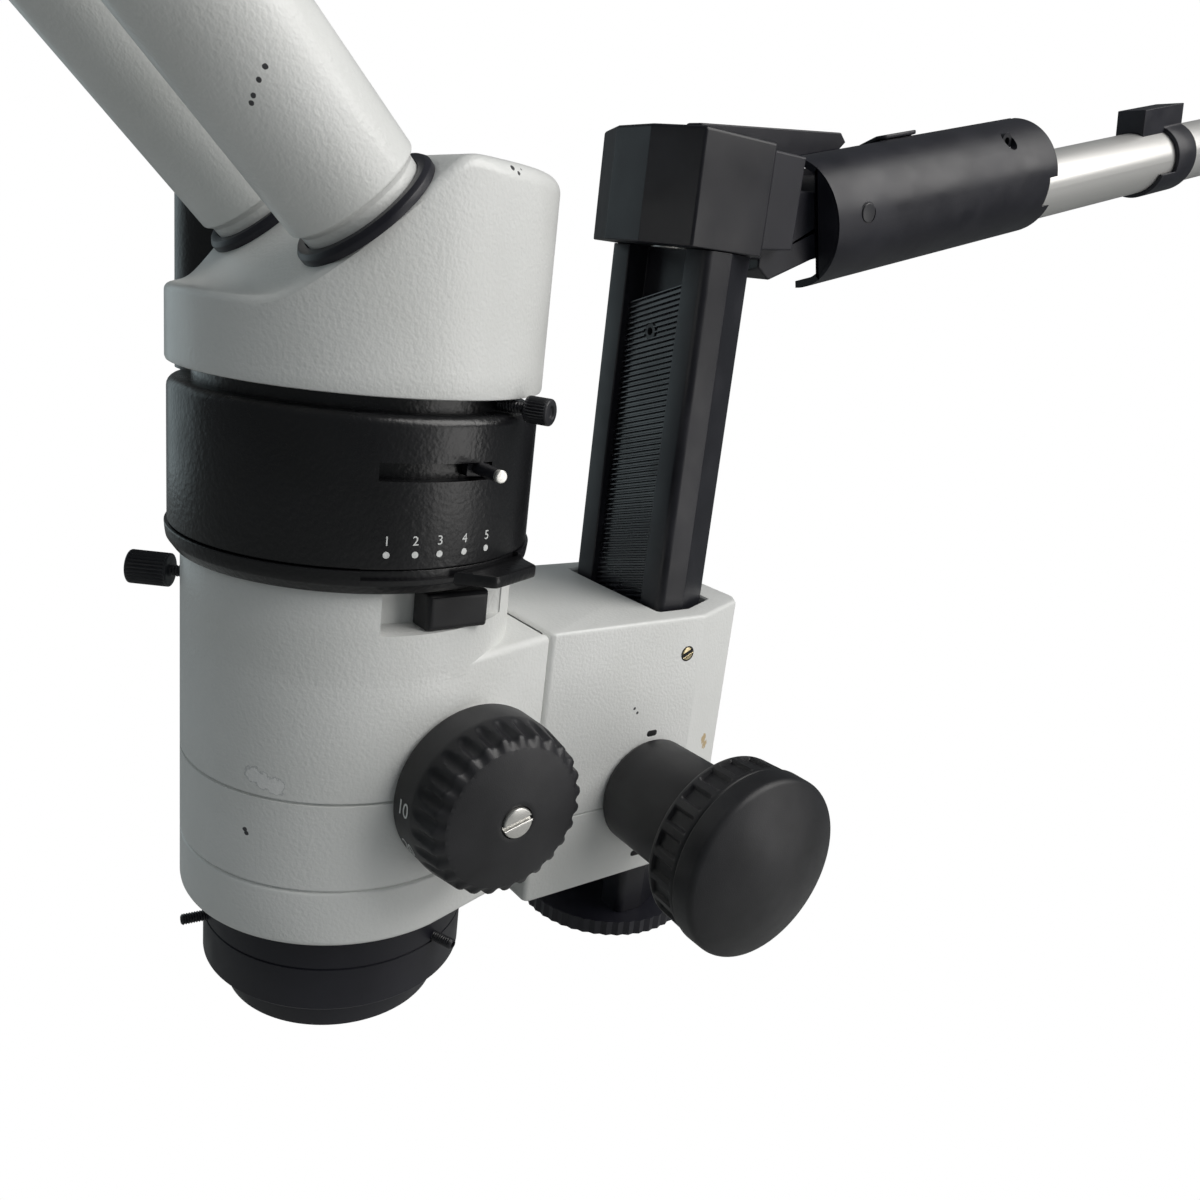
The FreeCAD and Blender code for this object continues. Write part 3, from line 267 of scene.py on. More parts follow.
# Shapes: each is a pair of points in millimetres and faces, built from grids worked out in numpy
def soften(corners, steps=6, closed=True):
    """Outline through corners (x, y, radius), each corner swapped for an arc that touches both sides."""
    count = len(corners)
    points = []
    for index, (x, y, radius) in enumerate(corners):
        spot = np.array([x, y])
        if radius == 0 or (not closed and index in (0, count - 1)):
            points.append(spot)
            continue
        before = np.array(corners[index - 1][:2]) - spot
        after = np.array(corners[(index + 1) % count][:2]) - spot
        before = before / np.hypot(*before)
        after = after / np.hypot(*after)
        half = math.acos(max(-1.0, min(1.0, before @ after))) / 2
        middle = spot + (before + after) / np.hypot(*(before + after)) * radius / math.sin(half)
        start = spot + before * radius / math.tan(half) - middle
        end = spot + after * radius / math.tan(half) - middle
        sweep = math.pi - 2 * half
        share = np.linspace(0, 1, steps)[:, None]
        reach = np.sin((1 - share) * sweep) * start + np.sin(share * sweep) * end
        points.extend(middle + reach / math.sin(sweep))
    return np.array(points)


def both_sides(half):
    """Outline from its corners on one side, mirrored to the other. A corner on the middle stays single."""
    return half + [(-x, y, radius) for x, y, radius in reversed(half) if x]


def oblong(left, right, front, back, radius=0.0):
    """Corners of a rectangle, all with one radius."""
    return [(left, front, radius), (right, front, radius), (right, back, radius), (left, back, radius)]


def wrap(rows, columns, loop=False):
    """Quads of a grid whose columns close on themselves, and whose rows do too for a hollow ring."""
    spans = rows if loop else rows - 1
    row, column = np.meshgrid(np.arange(spans), np.arange(columns), indexing="ij")
    beside = (column + 1) % columns
    above = (row + 1) % rows
    quads = np.stack([row * columns + column, row * columns + beside,
                      above * columns + beside, above * columns + column], -1)
    return quads.reshape(-1, 4).tolist()


def capped(rows, columns):
    """Quads of a grid whose columns close on themselves, with a face over each end."""
    faces = wrap(rows, columns)
    faces.append(list(range(columns))[::-1])
    faces.append([(rows - 1) * columns + i for i in range(columns)])
    return faces


def outward(shape):
    """Turn the faces of a shape outwards, told by the sign of its volume."""
    points, faces = shape
    volume = 0.0
    for near, far in ((1, 2), (2, 3)):
        chosen = [face for face in faces if len(face) > far]
        if chosen:
            base = points[np.array([face[0] for face in chosen])]
            left = points[np.array([face[near] for face in chosen])]
            right = points[np.array([face[far] for face in chosen])]
            volume += np.einsum("ij,ij->i", base, np.cross(left, right)).sum()
    if volume < 0:
        faces = [face[::-1] for face in faces]
    return points, faces


def turned(profile, around=96, cuts=None, loop=False, angles=None):
    """Turned solid about Z: every profile point (radius, height) goes round a full circle.

    A cut changes the radius at each angle and height, as flutes, knurls and threads do.
    """
    if angles is None:
        angles = np.linspace(0, 2 * math.pi, around, endpoint=False)
    radius, height = np.asarray(profile, float).T
    turn, far = np.meshgrid(angles, radius)
    level = np.repeat(height[:, None], len(angles), axis=1)
    if cuts is not None:
        far = cuts(turn, far, level)
    points = np.stack([far * np.cos(turn), far * np.sin(turn), level], -1).reshape(-1, 3)
    size = len(radius), len(angles)
    return outward((points, wrap(*size, loop=True) if loop else capped(*size)))


def stacked(outline, rows):
    """Upright solid: the outline set in by an inset at each height, as rows of (inset, height)."""
    ahead = np.roll(outline, -1, axis=0) - np.roll(outline, 1, axis=0)
    normal = np.stack([ahead[:, 1], -ahead[:, 0]], -1)
    normal = normal / np.linalg.norm(normal, axis=1)[:, None]
    turning = outline[:, 0] @ np.roll(outline[:, 1], -1) - outline[:, 1] @ np.roll(outline[:, 0], -1)
    if turning < 0:
        normal = -normal
    columns = len(outline)
    levels = [np.column_stack([outline - normal * inset, np.full(columns, height)]) for inset, height in rows]
    return outward((np.concatenate(levels), capped(len(rows), columns)))


def rim(edge, low, high, steps=5, bottom=None):
    """Rows of a stack with a quarter-round at its lower and upper edges."""
    under = edge if bottom is None else bottom
    swing = np.linspace(0, math.pi / 2, steps)
    rows = [(under * (1 - math.sin(turn)), low + under * (1 - math.cos(turn))) for turn in swing]
    rows += [(edge * (1 - math.cos(turn)), high - edge * (1 - math.sin(turn))) for turn in swing]
    return rows


def polar(outline, middle, angles):
    """Distance from a middle point to an outline at each angle."""
    closed = np.vstack([outline, outline[:1]])
    lengths = np.hypot(*np.diff(closed, axis=0).T)
    walked = np.concatenate([[0], np.cumsum(lengths)])
    steps = np.unique(np.concatenate([walked, np.linspace(0, walked[-1], 600)]))
    dense = np.column_stack([np.interp(steps, walked, closed[:, i]) for i in range(2)]) - middle
    around = np.mod(np.arctan2(dense[:, 1], dense[:, 0]), 2 * math.pi)
    order = np.argsort(around)
    return np.interp(angles, around[order], np.hypot(*dense[order].T), period=2 * math.pi)


def sleeve(outer, inner, middle, low, high, edge, seams=()):
    """Upright tube between two outlines, with rounded outer edges and fine grooves round it."""
    both = np.vstack([outer, inner]) - middle
    angles = np.unique(np.round(np.mod(np.arctan2(both[:, 1], both[:, 0]), 2 * math.pi), 6))
    ray = np.column_stack([np.cos(angles), np.sin(angles)])
    outside = polar(outer, middle, angles)[:, None]
    inside = polar(inner, middle, angles)[:, None]
    side = rim(edge, low, high)
    half = len(side) // 2
    for level in seams:
        side[half:half] = seam(level, depth=0.7, wide=0.4)
    rows = [(outside - inset, height) for inset, height in side]
    lip = 0.6
    rows += [(inside + lip, high), (inside, high - lip), (inside, low + lip), (inside + lip, low)]
    levels = [np.column_stack([middle + ray * reach, np.full(len(angles), height)]) for reach, height in rows]
    return outward((np.concatenate(levels), wrap(len(rows), len(angles), loop=True)))


def plate(corners, low, high, edge=0.4):
    """Flat plate from corners (x, y, radius) with softened edges."""
    return stacked(soften(corners), rim(edge, low, high, 3))


def moved(shape, matrix):
    """Put a shape through a 4 by 4 matrix whose place is in millimetres."""
    points, faces = shape
    turn = np.array(matrix)
    return points @ turn[:3, :3].T + turn[:3, 3], faces


def joined(*shapes):
    """Several shapes as one."""
    points, faces, start = [], [], 0
    for part_points, part_faces in shapes:
        points.append(part_points)
        faces.extend([[corner + start for corner in face] for face in part_faces])
        start += len(part_points)
    return np.concatenate(points), faces


def piece(name, shape, finish, body, stands_for=(), sharp=35.0):
    """Make an object from a shape, give it its finish, and let it ride on its body."""
    points, faces = shape
    mesh = bpy.data.meshes.new(name)
    mesh.from_pydata((points * MM).tolist(), [], faces)
    mesh.shade_smooth()
    mesh.set_sharp_from_angle(angle=math.radians(sharp))
    thing = bpy.data.objects.new(name, mesh)
    bpy.context.collection.objects.link(thing)
    mesh.materials.append(FINISHES[finish] if finish in FINISHES else finish)
    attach(thing, body)
    if stands_for:
        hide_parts(*stands_for)


def towards(x, y, z, way, spin=0.0):
    """Frame at a point whose Z looks along a direction."""
    turn = Vector(way).to_track_quat("Z", "Y").to_matrix().to_4x4()
    return Matrix.Translation((x, y, z)) @ turn @ Matrix.Rotation(math.radians(spin), 4, "Z")


def radial(angle, start, level):
    """Frame that looks straight away from the optical axis, at a distance from it."""
    turn = math.radians(angle)
    away = (math.cos(turn), math.sin(turn), 0)
    return towards(start * away[0], start * away[1], level, away)


def mirror(shape):
    """The same shape on the user's other side."""
    points, faces = shape
    return points * np.array([-1, 1, 1]), [face[::-1] for face in faces]


def knurl(count, depth, low, high):
    """Cut that scores straight teeth between two heights."""
    def cuts(turn, far, level):
        teeth = 0.5 - 0.5 * np.cos(turn * count)
        return far - depth * teeth * ((level > low) & (level < high))
    return cuts


def thread(pitch, depth, low, high):
    """Cut that winds a groove round a screw."""
    def cuts(turn, far, level):
        wave = 0.5 - 0.5 * np.cos(turn - 2 * math.pi * level / pitch)
        return far - depth * wave * ((level > low) & (level < high))
    return cuts


# Driving sizes in millimetres, as the frame's own pieces have them, with turns in radians
BODY_RADIUS = 43.0
FLANK_TURN, FLANK_X, FLANK_Y = math.radians(12.08), 41.8, 9.0
BLOCK_HALF = 31.5
SEAM_Y = 45.8
COLLAR_BOTTOM, COLLAR_TOP, GROOVE_Z, BLOCK_TOP, BODY_TOP = 34.0, 50.0, 74.6, 109.9, 131.0
NOTCH_FLOOR, NOTCH_X, NOTCH_START, NOTCH_END = 119.0, 33.2, math.radians(-14.8), math.radians(38.9)
BOSS_RADIUS, BOSS_X = 19.0, 43.3
BOX_BOTTOM = 23.9
BORE_RADIUS = 30.0
IRIS_BOTTOM, IRIS_LEDGE, IRIS_TOP, IRIS_BORE, IRIS_RADIUS = 130.1, 133.9, 136.1, 43.35, 46.6
IRIS_CUT_START, IRIS_CUT_END, TONGUE_TURN = math.radians(-22.0), math.radians(38.0), math.radians(23.0)
DRUM_RADIUS, DRUM_BOTTOM, DRUM_TOP = 46.1, 136.3, 171.8
WINDOW_LOW, WINDOW_HIGH, WINDOW_DEPTH, WINDOW_TURN = 157.0, 161.2, 4.3, math.radians(18.3)
HEAD_RADIUS, HEAD_BOTTOM, HEAD_RIDGE, HEAD_TOP, SLOPE_FOOT = 46.5, 175.5, 193.3, 228.0, 227.0
SLIDE_Y, SLIDE_Z, SLIDE_LOW, SLIDE_HIGH = 11.0, 159.7, 157.6, 160.6
ROD_RADIUS, ROD_X, ROD_LENGTH, ROD_TIP_X = 1.6, 35.4, 17.4, 52.7
ZOOM_AXIS, ZOOM_X = (16.8, 75.7), 44.1
SKIRT_RADIUS, SKIRT_HEIGHT, KNOB_FACE_RADIUS, KNOB_FACE, KNOB_SEAT, SCALLOPS = 23.0, 9.0, 19.2, 19.6, 20.4, 27
FOCUS_AXIS, FOCUS_HUB_X, FOCUS_GRIP_X, FOCUS_CAP_X = (88.5, 53.7), 31.9, 65.9, 77.7
HUB_LENGTH, GRIP_LENGTH, GRIP_PADS, CAP_RADIUS, CAP_HEIGHT, CAP_DOME = 33.8, 11.6, 22, 27.5, 13.7, 6.5
HUB_SLOT_ABOVE, HUB_SLOT_BELOW = 18.9, 23.2
COLUMN_AXIS = np.array([0.0, 103.0])
COLUMN_TOP, CAP_BOTTOM, CAP_TOP = 216.55, 216.7, 247.9
BARREL_X, BARREL_Z, EYE_SHIFT = 29.5, 199.6, 4.0
BARREL_START, BARREL_LENGTH, BARREL_RADIUS = 22.0, 88.0, 16.2
EYEPIECE_START = BARREL_START + BARREL_LENGTH + 16.2
DIOPTRE_START = EYEPIECE_START + 30.3
EYECUP_START = DIOPTRE_START + 9.0
TILT_PIN = (160.1, 234.8)
SHELL_FACE_X = 19.2
GUIDE_SCREW = (98.7, 97.8)
RIGHT, LEFT = (1, 0, 0), (-1, 0, 0)

# Width of the steep side of a cut, in radians round a turned solid and in millimetres along it
HAIR_TURN = 0.001
HAIR = 0.01


def cut_angles(count, start, end):
    """Even angles round a circle, with a close pair at each end of a cut."""
    even = np.linspace(-math.pi, math.pi, count + 1)[:-1]
    return np.unique(np.concatenate([even, [start - HAIR_TURN, start, end, end + HAIR_TURN]]))


def body_plan():
    """Plan of the optical body: a round front whose flanks run straight back to a narrower end."""
    front = np.linspace(FLANK_TURN, -math.pi - FLANK_TURN, 110)
    arc = BODY_RADIUS * np.column_stack([np.cos(front), np.sin(front)])
    corners = soften(both_sides([(-FLANK_X, FLANK_Y, 0), (-BLOCK_HALF, SEAM_Y, 1.2)]))[1:-1]
    return np.vstack([arc, corners])


def seam(level, depth=1.0, wide=0.65):
    """Rows of a fine groove in the side of a stack."""
    return [(0, level - 0.15), (depth, level), (depth, level + wide), (0, level + wide + 0.15)]


def zoom_housing():
    """Tower: the body's plan up to the block top, a round drum with a square notch, and two side bosses."""
    low = [(1.0, COLLAR_TOP), (0.8, COLLAR_TOP + 0.5), (0.0, COLLAR_TOP + 1.0)]
    rounding = 2.2
    high = [(rounding * (1 - math.cos(turn)), BLOCK_TOP - rounding * (1 - math.sin(turn)))
            for turn in np.linspace(0, math.pi / 2, 7)]
    block = stacked(body_plan(), low + seam(GROOVE_Z) + high)
    start, end = NOTCH_START + HAIR_TURN, NOTCH_END - HAIR_TURN

    def notch(turn, far, level):
        inside = (turn >= start) & (turn <= end) & (level > NOTCH_FLOOR)
        return np.where(inside, np.minimum(far, NOTCH_X / np.cos(turn)), far)

    profile = [(BORE_RADIUS, BLOCK_TOP - 4), (BODY_RADIUS, BLOCK_TOP - 4), (BODY_RADIUS, NOTCH_FLOOR - HAIR),
               (BODY_RADIUS, NOTCH_FLOOR + HAIR), (BODY_RADIUS, BODY_TOP - 0.8),
               (BODY_RADIUS - 0.3, BODY_TOP - 0.2), (BODY_RADIUS - 0.9, BODY_TOP), (24.0, BODY_TOP)]
    tower = turned(profile, cuts=notch, angles=cut_angles(180, start, end))
    boss = turned(soften([(5.0, -BOSS_X, 0), (BOSS_RADIUS, -BOSS_X, 0.8), (BOSS_RADIUS, BOSS_X, 0.8),
                          (5.0, BOSS_X, 0)], closed=False), 96)
    return joined(block, tower, moved(boss, towards(0, *ZOOM_AXIS, RIGHT)))


def collar():
    """White collar under the tower, with a soft lower rim."""
    return stacked(body_plan(), rim(0.7, COLLAR_BOTTOM, COLLAR_TOP, 6, bottom=2.0))


def focus_housing():
    """Box behind the tower with a six-sided well for the column."""
    outer = soften(both_sides([(-BLOCK_HALF, 46.2, 1.8), (-BLOCK_HALF, 104.4, 2.0), (-22.5, 125.8, 2.0),
                               (-18.5, 128.5, 2.0)]))
    inner = soften(both_sides([(-24.2, 90.8, 1.5), (-24.2, 102.9, 1.0), (-17.9, 117.0, 1.0)]))
    return sleeve(outer, inner, COLUMN_AXIS, BOX_BOTTOM, BLOCK_TOP, 1.3, [COLLAR_TOP - 0.2])


def head():
    """Round head whose top is one smooth height of the depth y.

    The height is the soft maximum of the front ledge and a 45 degree slope, held under the flat top
    by a soft minimum, and the rim is a quarter-round that grows from front to back.
    """
    crest, cove, foot_round, front_round, back_round = 1.5, 2.1, 0.9, 1.9, 4.3
    around = 240
    angles = np.linspace(0, 2 * math.pi, around, endpoint=False)
    across, depth = np.cos(angles), np.sin(angles)

    def top(y):
        high = -crest * np.logaddexp(-(SLOPE_FOOT + y) / crest, -HEAD_TOP / crest)
        return cove * np.logaddexp(high / cove, HEAD_RIDGE / cove)

    edge = front_round + (back_round - front_round) * np.clip((depth + 0.15) / 0.4, 0, 1)
    levels = [(np.full(around, radius), np.full(around, height)) for radius, height in
              ((HEAD_RADIUS - 8, HEAD_BOTTOM), (HEAD_RADIUS - foot_round, HEAD_BOTTOM),
               (HEAD_RADIUS - 0.25, HEAD_BOTTOM + 0.25), (HEAD_RADIUS, HEAD_BOTTOM + foot_round))]
    side_foot = HEAD_BOTTOM + foot_round
    side_top = top((HEAD_RADIUS - edge) * depth) - edge
    for share in np.linspace(0, 1, 10)[1:]:
        levels.append((np.full(around, HEAD_RADIUS), side_foot + share * (side_top - side_foot)))
    for swing in np.linspace(0, math.pi / 2, 8)[1:]:
        reach = HEAD_RADIUS - edge * (1 - math.cos(swing))
        levels.append((reach, top(reach * depth) - edge * (1 - math.sin(swing))))
    for share in np.linspace(1, 0.02, 56)[1:]:
        reach = (HEAD_RADIUS - edge) * share
        levels.append((reach, top(reach * depth)))
    points = [np.column_stack([reach * across, reach * depth, height]) for reach, height in levels]
    return outward((np.concatenate(points), capped(len(levels), around)))


def drum():
    """Black drum with a rounded top, a curved window and the foot of the camera port."""
    def window(turn, far, level):
        inside = (np.abs(turn) <= WINDOW_TURN) & (level > WINDOW_LOW) & (level < WINDOW_HIGH)
        return np.where(inside, far - WINDOW_DEPTH, far)

    side = [(DRUM_RADIUS, level + shift, 0) for level in (WINDOW_LOW, WINDOW_HIGH) for shift in (-HAIR, HAIR)]
    profile = soften([(BORE_RADIUS, BODY_TOP, 0), (BODY_RADIUS, BODY_TOP, 0), (BODY_RADIUS, DRUM_BOTTOM, 0),
                      (DRUM_RADIUS, DRUM_BOTTOM, 0.5)] + side
                     + [(DRUM_RADIUS, DRUM_TOP, 2.6), (BORE_RADIUS, DRUM_TOP, 0)], 7, closed=False)
    shell = turned(profile, cuts=window, angles=cut_angles(192, -WINDOW_TURN, WINDOW_TURN))
    foot = [(-74.0, -24.1, 3), (-30.0, -24.1, 0), (-30.0, -1.1, 0), (-74.0, -1.1, 3)]
    foot_low, foot_high = 139.3, 167.3
    return joined(shell, plate(foot, foot_low, foot_high, edge=1.0))


def iris_ring():
    """Lever ring with a long cut in its upper rim and a tongue at the front right."""
    depth = 1.3

    def groove(turn, far, level):
        inside = (turn >= IRIS_CUT_START) & (turn <= IRIS_CUT_END) & (level > IRIS_LEDGE)
        return np.where(inside & (far > IRIS_RADIUS - depth), far - depth, far)

    profile = soften([(IRIS_BORE, IRIS_BOTTOM, 0.2), (44.6, IRIS_BOTTOM, 0.6), (46.4, 132.6, 0.9),
                      (IRIS_RADIUS, IRIS_LEDGE - HAIR, 0), (IRIS_RADIUS, IRIS_LEDGE + HAIR, 0),
                      (46.8, IRIS_TOP, 0.3), (IRIS_BORE, IRIS_TOP, 0.3)])
    ring = turned(profile, cuts=groove, angles=cut_angles(160, IRIS_CUT_START, IRIS_CUT_END), loop=True)
    tongue_low, tongue_high = 132.1, 135.3
    tongue = plate([(44.5, -13.5, 0), (48.5, -11.0, 3.0), (53.7, -8.6, 2.2), (53.7, 8.6, 2.2),
                    (48.5, 11.0, 3.0), (44.5, 13.5, 0)], tongue_low, tongue_high, edge=0.7)
    return joined(ring, moved(tongue, Matrix.Rotation(TONGUE_TURN, 4, "Z")))


def flutes(count, depth, half_share, low, high, power):
    """Cut of hollow flutes: a share of each pitch is scooped out between two heights."""
    def cuts(turn, far, level):
        near = np.abs(np.mod(turn * count / (2 * math.pi) + 0.5, 1.0) - 0.5) / half_share
        scoop = np.clip(1 - near ** power, 0, 1)
        return far - depth * scoop * ((level > low) & (level < high))
    return cuts


def scoops(count, depth, half_share, low, high, inner, fade):
    """Cut of spoon-shaped hollows that start at a point low on the rim and run out over its upper edge."""
    def cuts(turn, far, level):
        near = np.abs(np.mod(turn * count / (2 * math.pi) + 0.5, 1.0) - 0.5) / half_share
        along = np.clip((level - low) / (high - low), 0, 1)
        outer = np.clip((far - inner) / fade, 0, 1)
        return far - depth * outer * np.clip(np.sqrt(np.sin(along * math.pi / 2)) - near ** 2, 0, 1)
    return cuts


def zoom_knob():
    """Zoom knob: a smooth skirt, scallops round the rim and a gently domed face with a screw seat."""
    taper, taper_length = 1.3, 9.0
    rows = soften([(8.0, 0, 0), (SKIRT_RADIUS, 0, 0.6), (SKIRT_RADIUS, 9.5, 2.0),
                   (SKIRT_RADIUS - taper, 18.0, 1.6), (KNOB_FACE_RADIUS, KNOB_FACE - 0.05, 1.5)],
                  closed=False)
    face = np.linspace(19.0, 4.7, 14)
    dome = np.column_stack([face, KNOB_FACE + 2.2 * (1 - (face / KNOB_FACE_RADIUS) ** 2)])
    seat = np.array([[4.5, 21.55], [4.45, KNOB_SEAT], [0.6, KNOB_SEAT]])
    heights = np.linspace(1.0, 16.4, 30)
    narrowing = taper * np.clip((heights - SKIRT_HEIGHT) / taper_length, 0, 1)
    side = np.column_stack([SKIRT_RADIUS - narrowing, heights])
    profile = np.vstack([rows[rows[:, 1] < 0.9], side, rows[rows[:, 1] > 16.5], dome, seat])
    cuts = scoops(SCALLOPS, depth=1.15, half_share=0.36, low=10.3, high=15.5, inner=18.9, fade=1.5)
    return turned(profile, SCALLOPS * 12, cuts)


def slotted_head(radius, thick, half_slot):
    """Screw head with a straight slot: a disc made of two half discs and a thin floor between."""
    corner = math.asin(half_slot / radius)
    turn = np.linspace(corner, math.pi - corner, 24)
    half = radius * np.column_stack([np.cos(turn), np.sin(turn)])
    other = half * np.array([-1.0, -1.0])
    web = thick * 0.4
    base = turned([(0.3, 0), (radius - 0.05, 0), (radius - 0.05, web), (0.3, web)], 48)
    rows = rim(0.35, 0.0, thick, 4)
    return joined(stacked(half, rows), stacked(other, rows), base)


def pin(radius, low, high, edge=0.0, around=40):
    """Small round pin with a softened far edge."""
    corners = [(0.2, low, 0), (radius, low, 0), (radius, high, edge), (0.2, high, 0)]
    return turned(soften(corners, closed=False), around)


def focus_hub():
    """Slightly flared hub of a focus knob."""
    return turned(soften([(6.0, 0, 0), (16.6, 0, 0.3), (17.3, 1.2, 0.8), (18.1, HUB_LENGTH, 0.8),
                          (6.0, HUB_LENGTH, 0)], closed=False), 96)


def focus_grip():
    """Grip ring with shallow pads sunk into its rim."""
    height = np.linspace(0, GRIP_LENGTH, 30)
    rounding = 0.7 * (np.exp(-height / 0.35) + np.exp(-(GRIP_LENGTH - height) / 0.35))
    radius = 26.4 + 0.6 * height / GRIP_LENGTH - rounding
    profile = np.vstack([[8.0, 0], np.column_stack([radius, height]), [8.0, GRIP_LENGTH]])
    cuts = flutes(GRIP_PADS, depth=1.15, half_share=0.33, low=1.9, high=9.9, power=8.0)
    return turned(profile, GRIP_PADS * 16, cuts)


def focus_cap():
    """Domed cap of a focus knob, the face part of a ball."""
    dome = np.linspace(25.0, 0.4, 24)
    ball = (CAP_RADIUS ** 2 + CAP_DOME ** 2) / (2 * CAP_DOME)
    face = np.column_stack([dome, CAP_HEIGHT - ball + np.sqrt(ball ** 2 - dome ** 2)])
    side = soften([(8.0, 0, 0), (CAP_RADIUS, 0, 0.6), (CAP_RADIUS, 7.2, 2.4), (face[0, 0], face[0, 1], 0)], 8,
                  closed=False)
    return turned(np.vstack([side, face[1:]]), 128)


def objective_ring():
    """Stepped black ring that holds the lens, with two fine lines round it."""
    wide, stem, bore = 36.8, 32.8, 27.1
    profile = soften([(25.0, 0, 0.3), (30.2, 0, 0.6), (31.3, 7.4, 0), (31.0, 7.6, 0), (31.0, 7.9, 0),
                      (31.4, 8.1, 0), (31.5, 10.1, 0), (36.2, 10.1, 0), (wide, 10.7, 0.2), (wide, 22.7, 0),
                      (36.4, 22.9, 0), (36.4, 23.2, 0), (wide, 23.4, 0), (wide, 33.9, 0), (stem, 33.9, 0),
                      (stem, 42.0, 0), (bore, 42.0, 0), (bore, 6.0, 0), (25.0, 6.0, 0)], 4)
    return turned(profile, 160, loop=True)


def set_screw(length, radius, pitch=0.7):
    """Threaded grub screw with a socket in its end."""
    rows = np.column_stack([np.full(90, radius), np.linspace(0, length - 0.5, 90)])
    socket = length - 1.2
    tip = np.array([[radius - 0.35, length - 0.1], [radius - 0.5, length], [0.95, length], [0.9, socket],
                    [0.15, socket]])
    return turned(np.vstack([rows, tip]), 28, thread(pitch, depth=0.28, low=-1.0, high=length - 0.6))


def thumb_screw(length, radius, shank):
    """Knurled screw head on a threaded shank."""
    stem_radius, teeth = 1.6, 26
    stem = np.column_stack([np.full(60, stem_radius), np.linspace(-shank, -0.2, 60)])
    under = soften([(stem_radius, 0, 0), (radius, 0, 0.5), (radius, length, 0)], 5, closed=False)[:-1]
    middle = np.column_stack([np.full(8, radius), np.linspace(1.0, length - 1.2, 8)])
    over = soften([(radius, 0, 0), (radius, length, 0.6), (radius - 1.6, length, 0.2),
                   (radius - 1.9, length - 0.7, 0.2), (0.3, length - 0.7, 0)], 5, closed=False)[1:]
    grip = knurl(teeth, depth=0.45, low=0.6, high=length - 0.7)
    worm = thread(pitch=0.8, depth=0.3, low=-shank, high=-0.1)

    def cuts(turn, far, level):
        return np.where(level < 0, worm(turn, far, level), grip(turn, far, level))

    return turned(np.vstack([stem, under, middle, over]), teeth * 6, cuts)


def barrel(side):
    """Barrel: a narrow neck, a long straight tube and the offset seat of its eyepiece."""
    foot, bore, end = BARREL_START, 12.0, BARREL_START + BARREL_LENGTH
    tube = turned(soften([(14.0, foot - 6, 0), (14.6, foot - 5.9, 0), (14.7, foot + 2.0, 0.8),
                          (15.5, foot + 3.1, 0.4), (BARREL_RADIUS, foot + 3.4, 0.9), (BARREL_RADIUS, end, 0),
                          (bore, end, 0), (bore, foot - 6, 0)], 6), 128, loop=True)
    seat = turned(soften([(15.0, 0, 0), (22.2, 0, 1.6), (22.2, 16.0, 1.2), (15.2, 16.0, 0.3),
                          (15.0, 6.0, 0)], 6), 128, loop=True)
    return joined(tube, moved(seat, Matrix.Translation((side * EYE_SHIFT, -EYE_SHIFT, end))))


def eyepiece():
    """Eyepiece tube with a ribbed band."""
    base, radius, band = EYEPIECE_START, 18.5, 18.0
    profile = soften([(12.0, base - 12, 0), (14.9, base - 12, 0.3), (14.9, base, 0), (radius, base, 0.8),
                      (radius, base + 8, 0), (band, base + 8.3, 0), (band, base + 9.3, 0),
                      (radius, base + 9.6, 0), (radius, base + 30.0, 0.6), (12.0, base + 30.0, 0)], 5)
    return turned(profile, 128, loop=True)


def dioptre_ring():
    """Dioptre ring with a straight knurl."""
    base, radius, teeth = DIOPTRE_START, 19.5, 48
    rows = np.column_stack([np.full(8, radius), np.linspace(base + 1.0, base + 8.0, 8)])
    profile = np.vstack([[13.5, base], [radius - 0.5, base], [radius, base + 0.5], rows, [radius, base + 8.5],
                         [radius - 0.5, base + 9.0], [13.5, base + 9.0]])
    cuts = knurl(teeth, depth=0.6, low=base + 0.9, high=base + 8.1)
    return turned(profile, teeth * 6, cuts, loop=True)


def eyecup():
    """Soft rubber cup that flares towards the eye."""
    base = EYECUP_START
    return turned(soften([(12.5, base, 0.4), (17.5, base, 0.8), (17.8, base + 3, 1.0), (18.6, base + 6, 1.0),
                          (20.5, base + 14.0, 1.0), (18.4, base + 14.0, 0.9), (15.5, base + 5, 1.5),
                          (12.5, base + 3.0, 0.5)], 5), 128, loop=True)


def column():
    """Column with bevelled rear flanks and a channel for the rack."""
    plan = soften(both_sides([(-16.3, 115.4, 1.0), (-22.6, 102.1, 1.0), (-22.6, 92.4, 2.5),
                              (-13.1, 92.4, 0.5), (-13.1, 100.0, 0.3)]))
    return stacked(plan, rim(0.3, 1.0, COLUMN_TOP, 4))


def column_cap():
    """Faceted cap on top of the column."""
    plan = soften(both_sides([(-7.9, 78.8, 1.2), (-23.2, 85.7, 1.2), (-23.2, 113.0, 1.2), (0.0, 125.7, 2.0)]))
    return stacked(plan, rim(1.1, CAP_BOTTOM, CAP_TOP, 5, bottom=0.4))


# Thickness of printed marks, and how tall a figure is for its font size
PRINT_THICK, FIGURE_SHARE = 0.03, 0.72


def digits(text, tall):
    """Printed characters as a thin flat shape, centred on the origin."""
    curve = bpy.data.curves.new("digits", "FONT")
    curve.body = text
    curve.size = tall / FIGURE_SHARE
    curve.extrude = PRINT_THICK
    curve.align_x = curve.align_y = "CENTER"
    carrier = bpy.data.objects.new("digits", curve)
    bpy.context.collection.objects.link(carrier)
    flat = bpy.data.meshes.new_from_object(carrier.evaluated_get(bpy.context.evaluated_depsgraph_get()))
    points = np.empty(len(flat.vertices) * 3)
    flat.vertices.foreach_get("co", points)
    faces = [list(face.vertices) for face in flat.polygons]
    bpy.data.objects.remove(carrier)
    bpy.data.curves.remove(curve)
    bpy.data.meshes.remove(flat)
    return points.reshape(-1, 3), faces


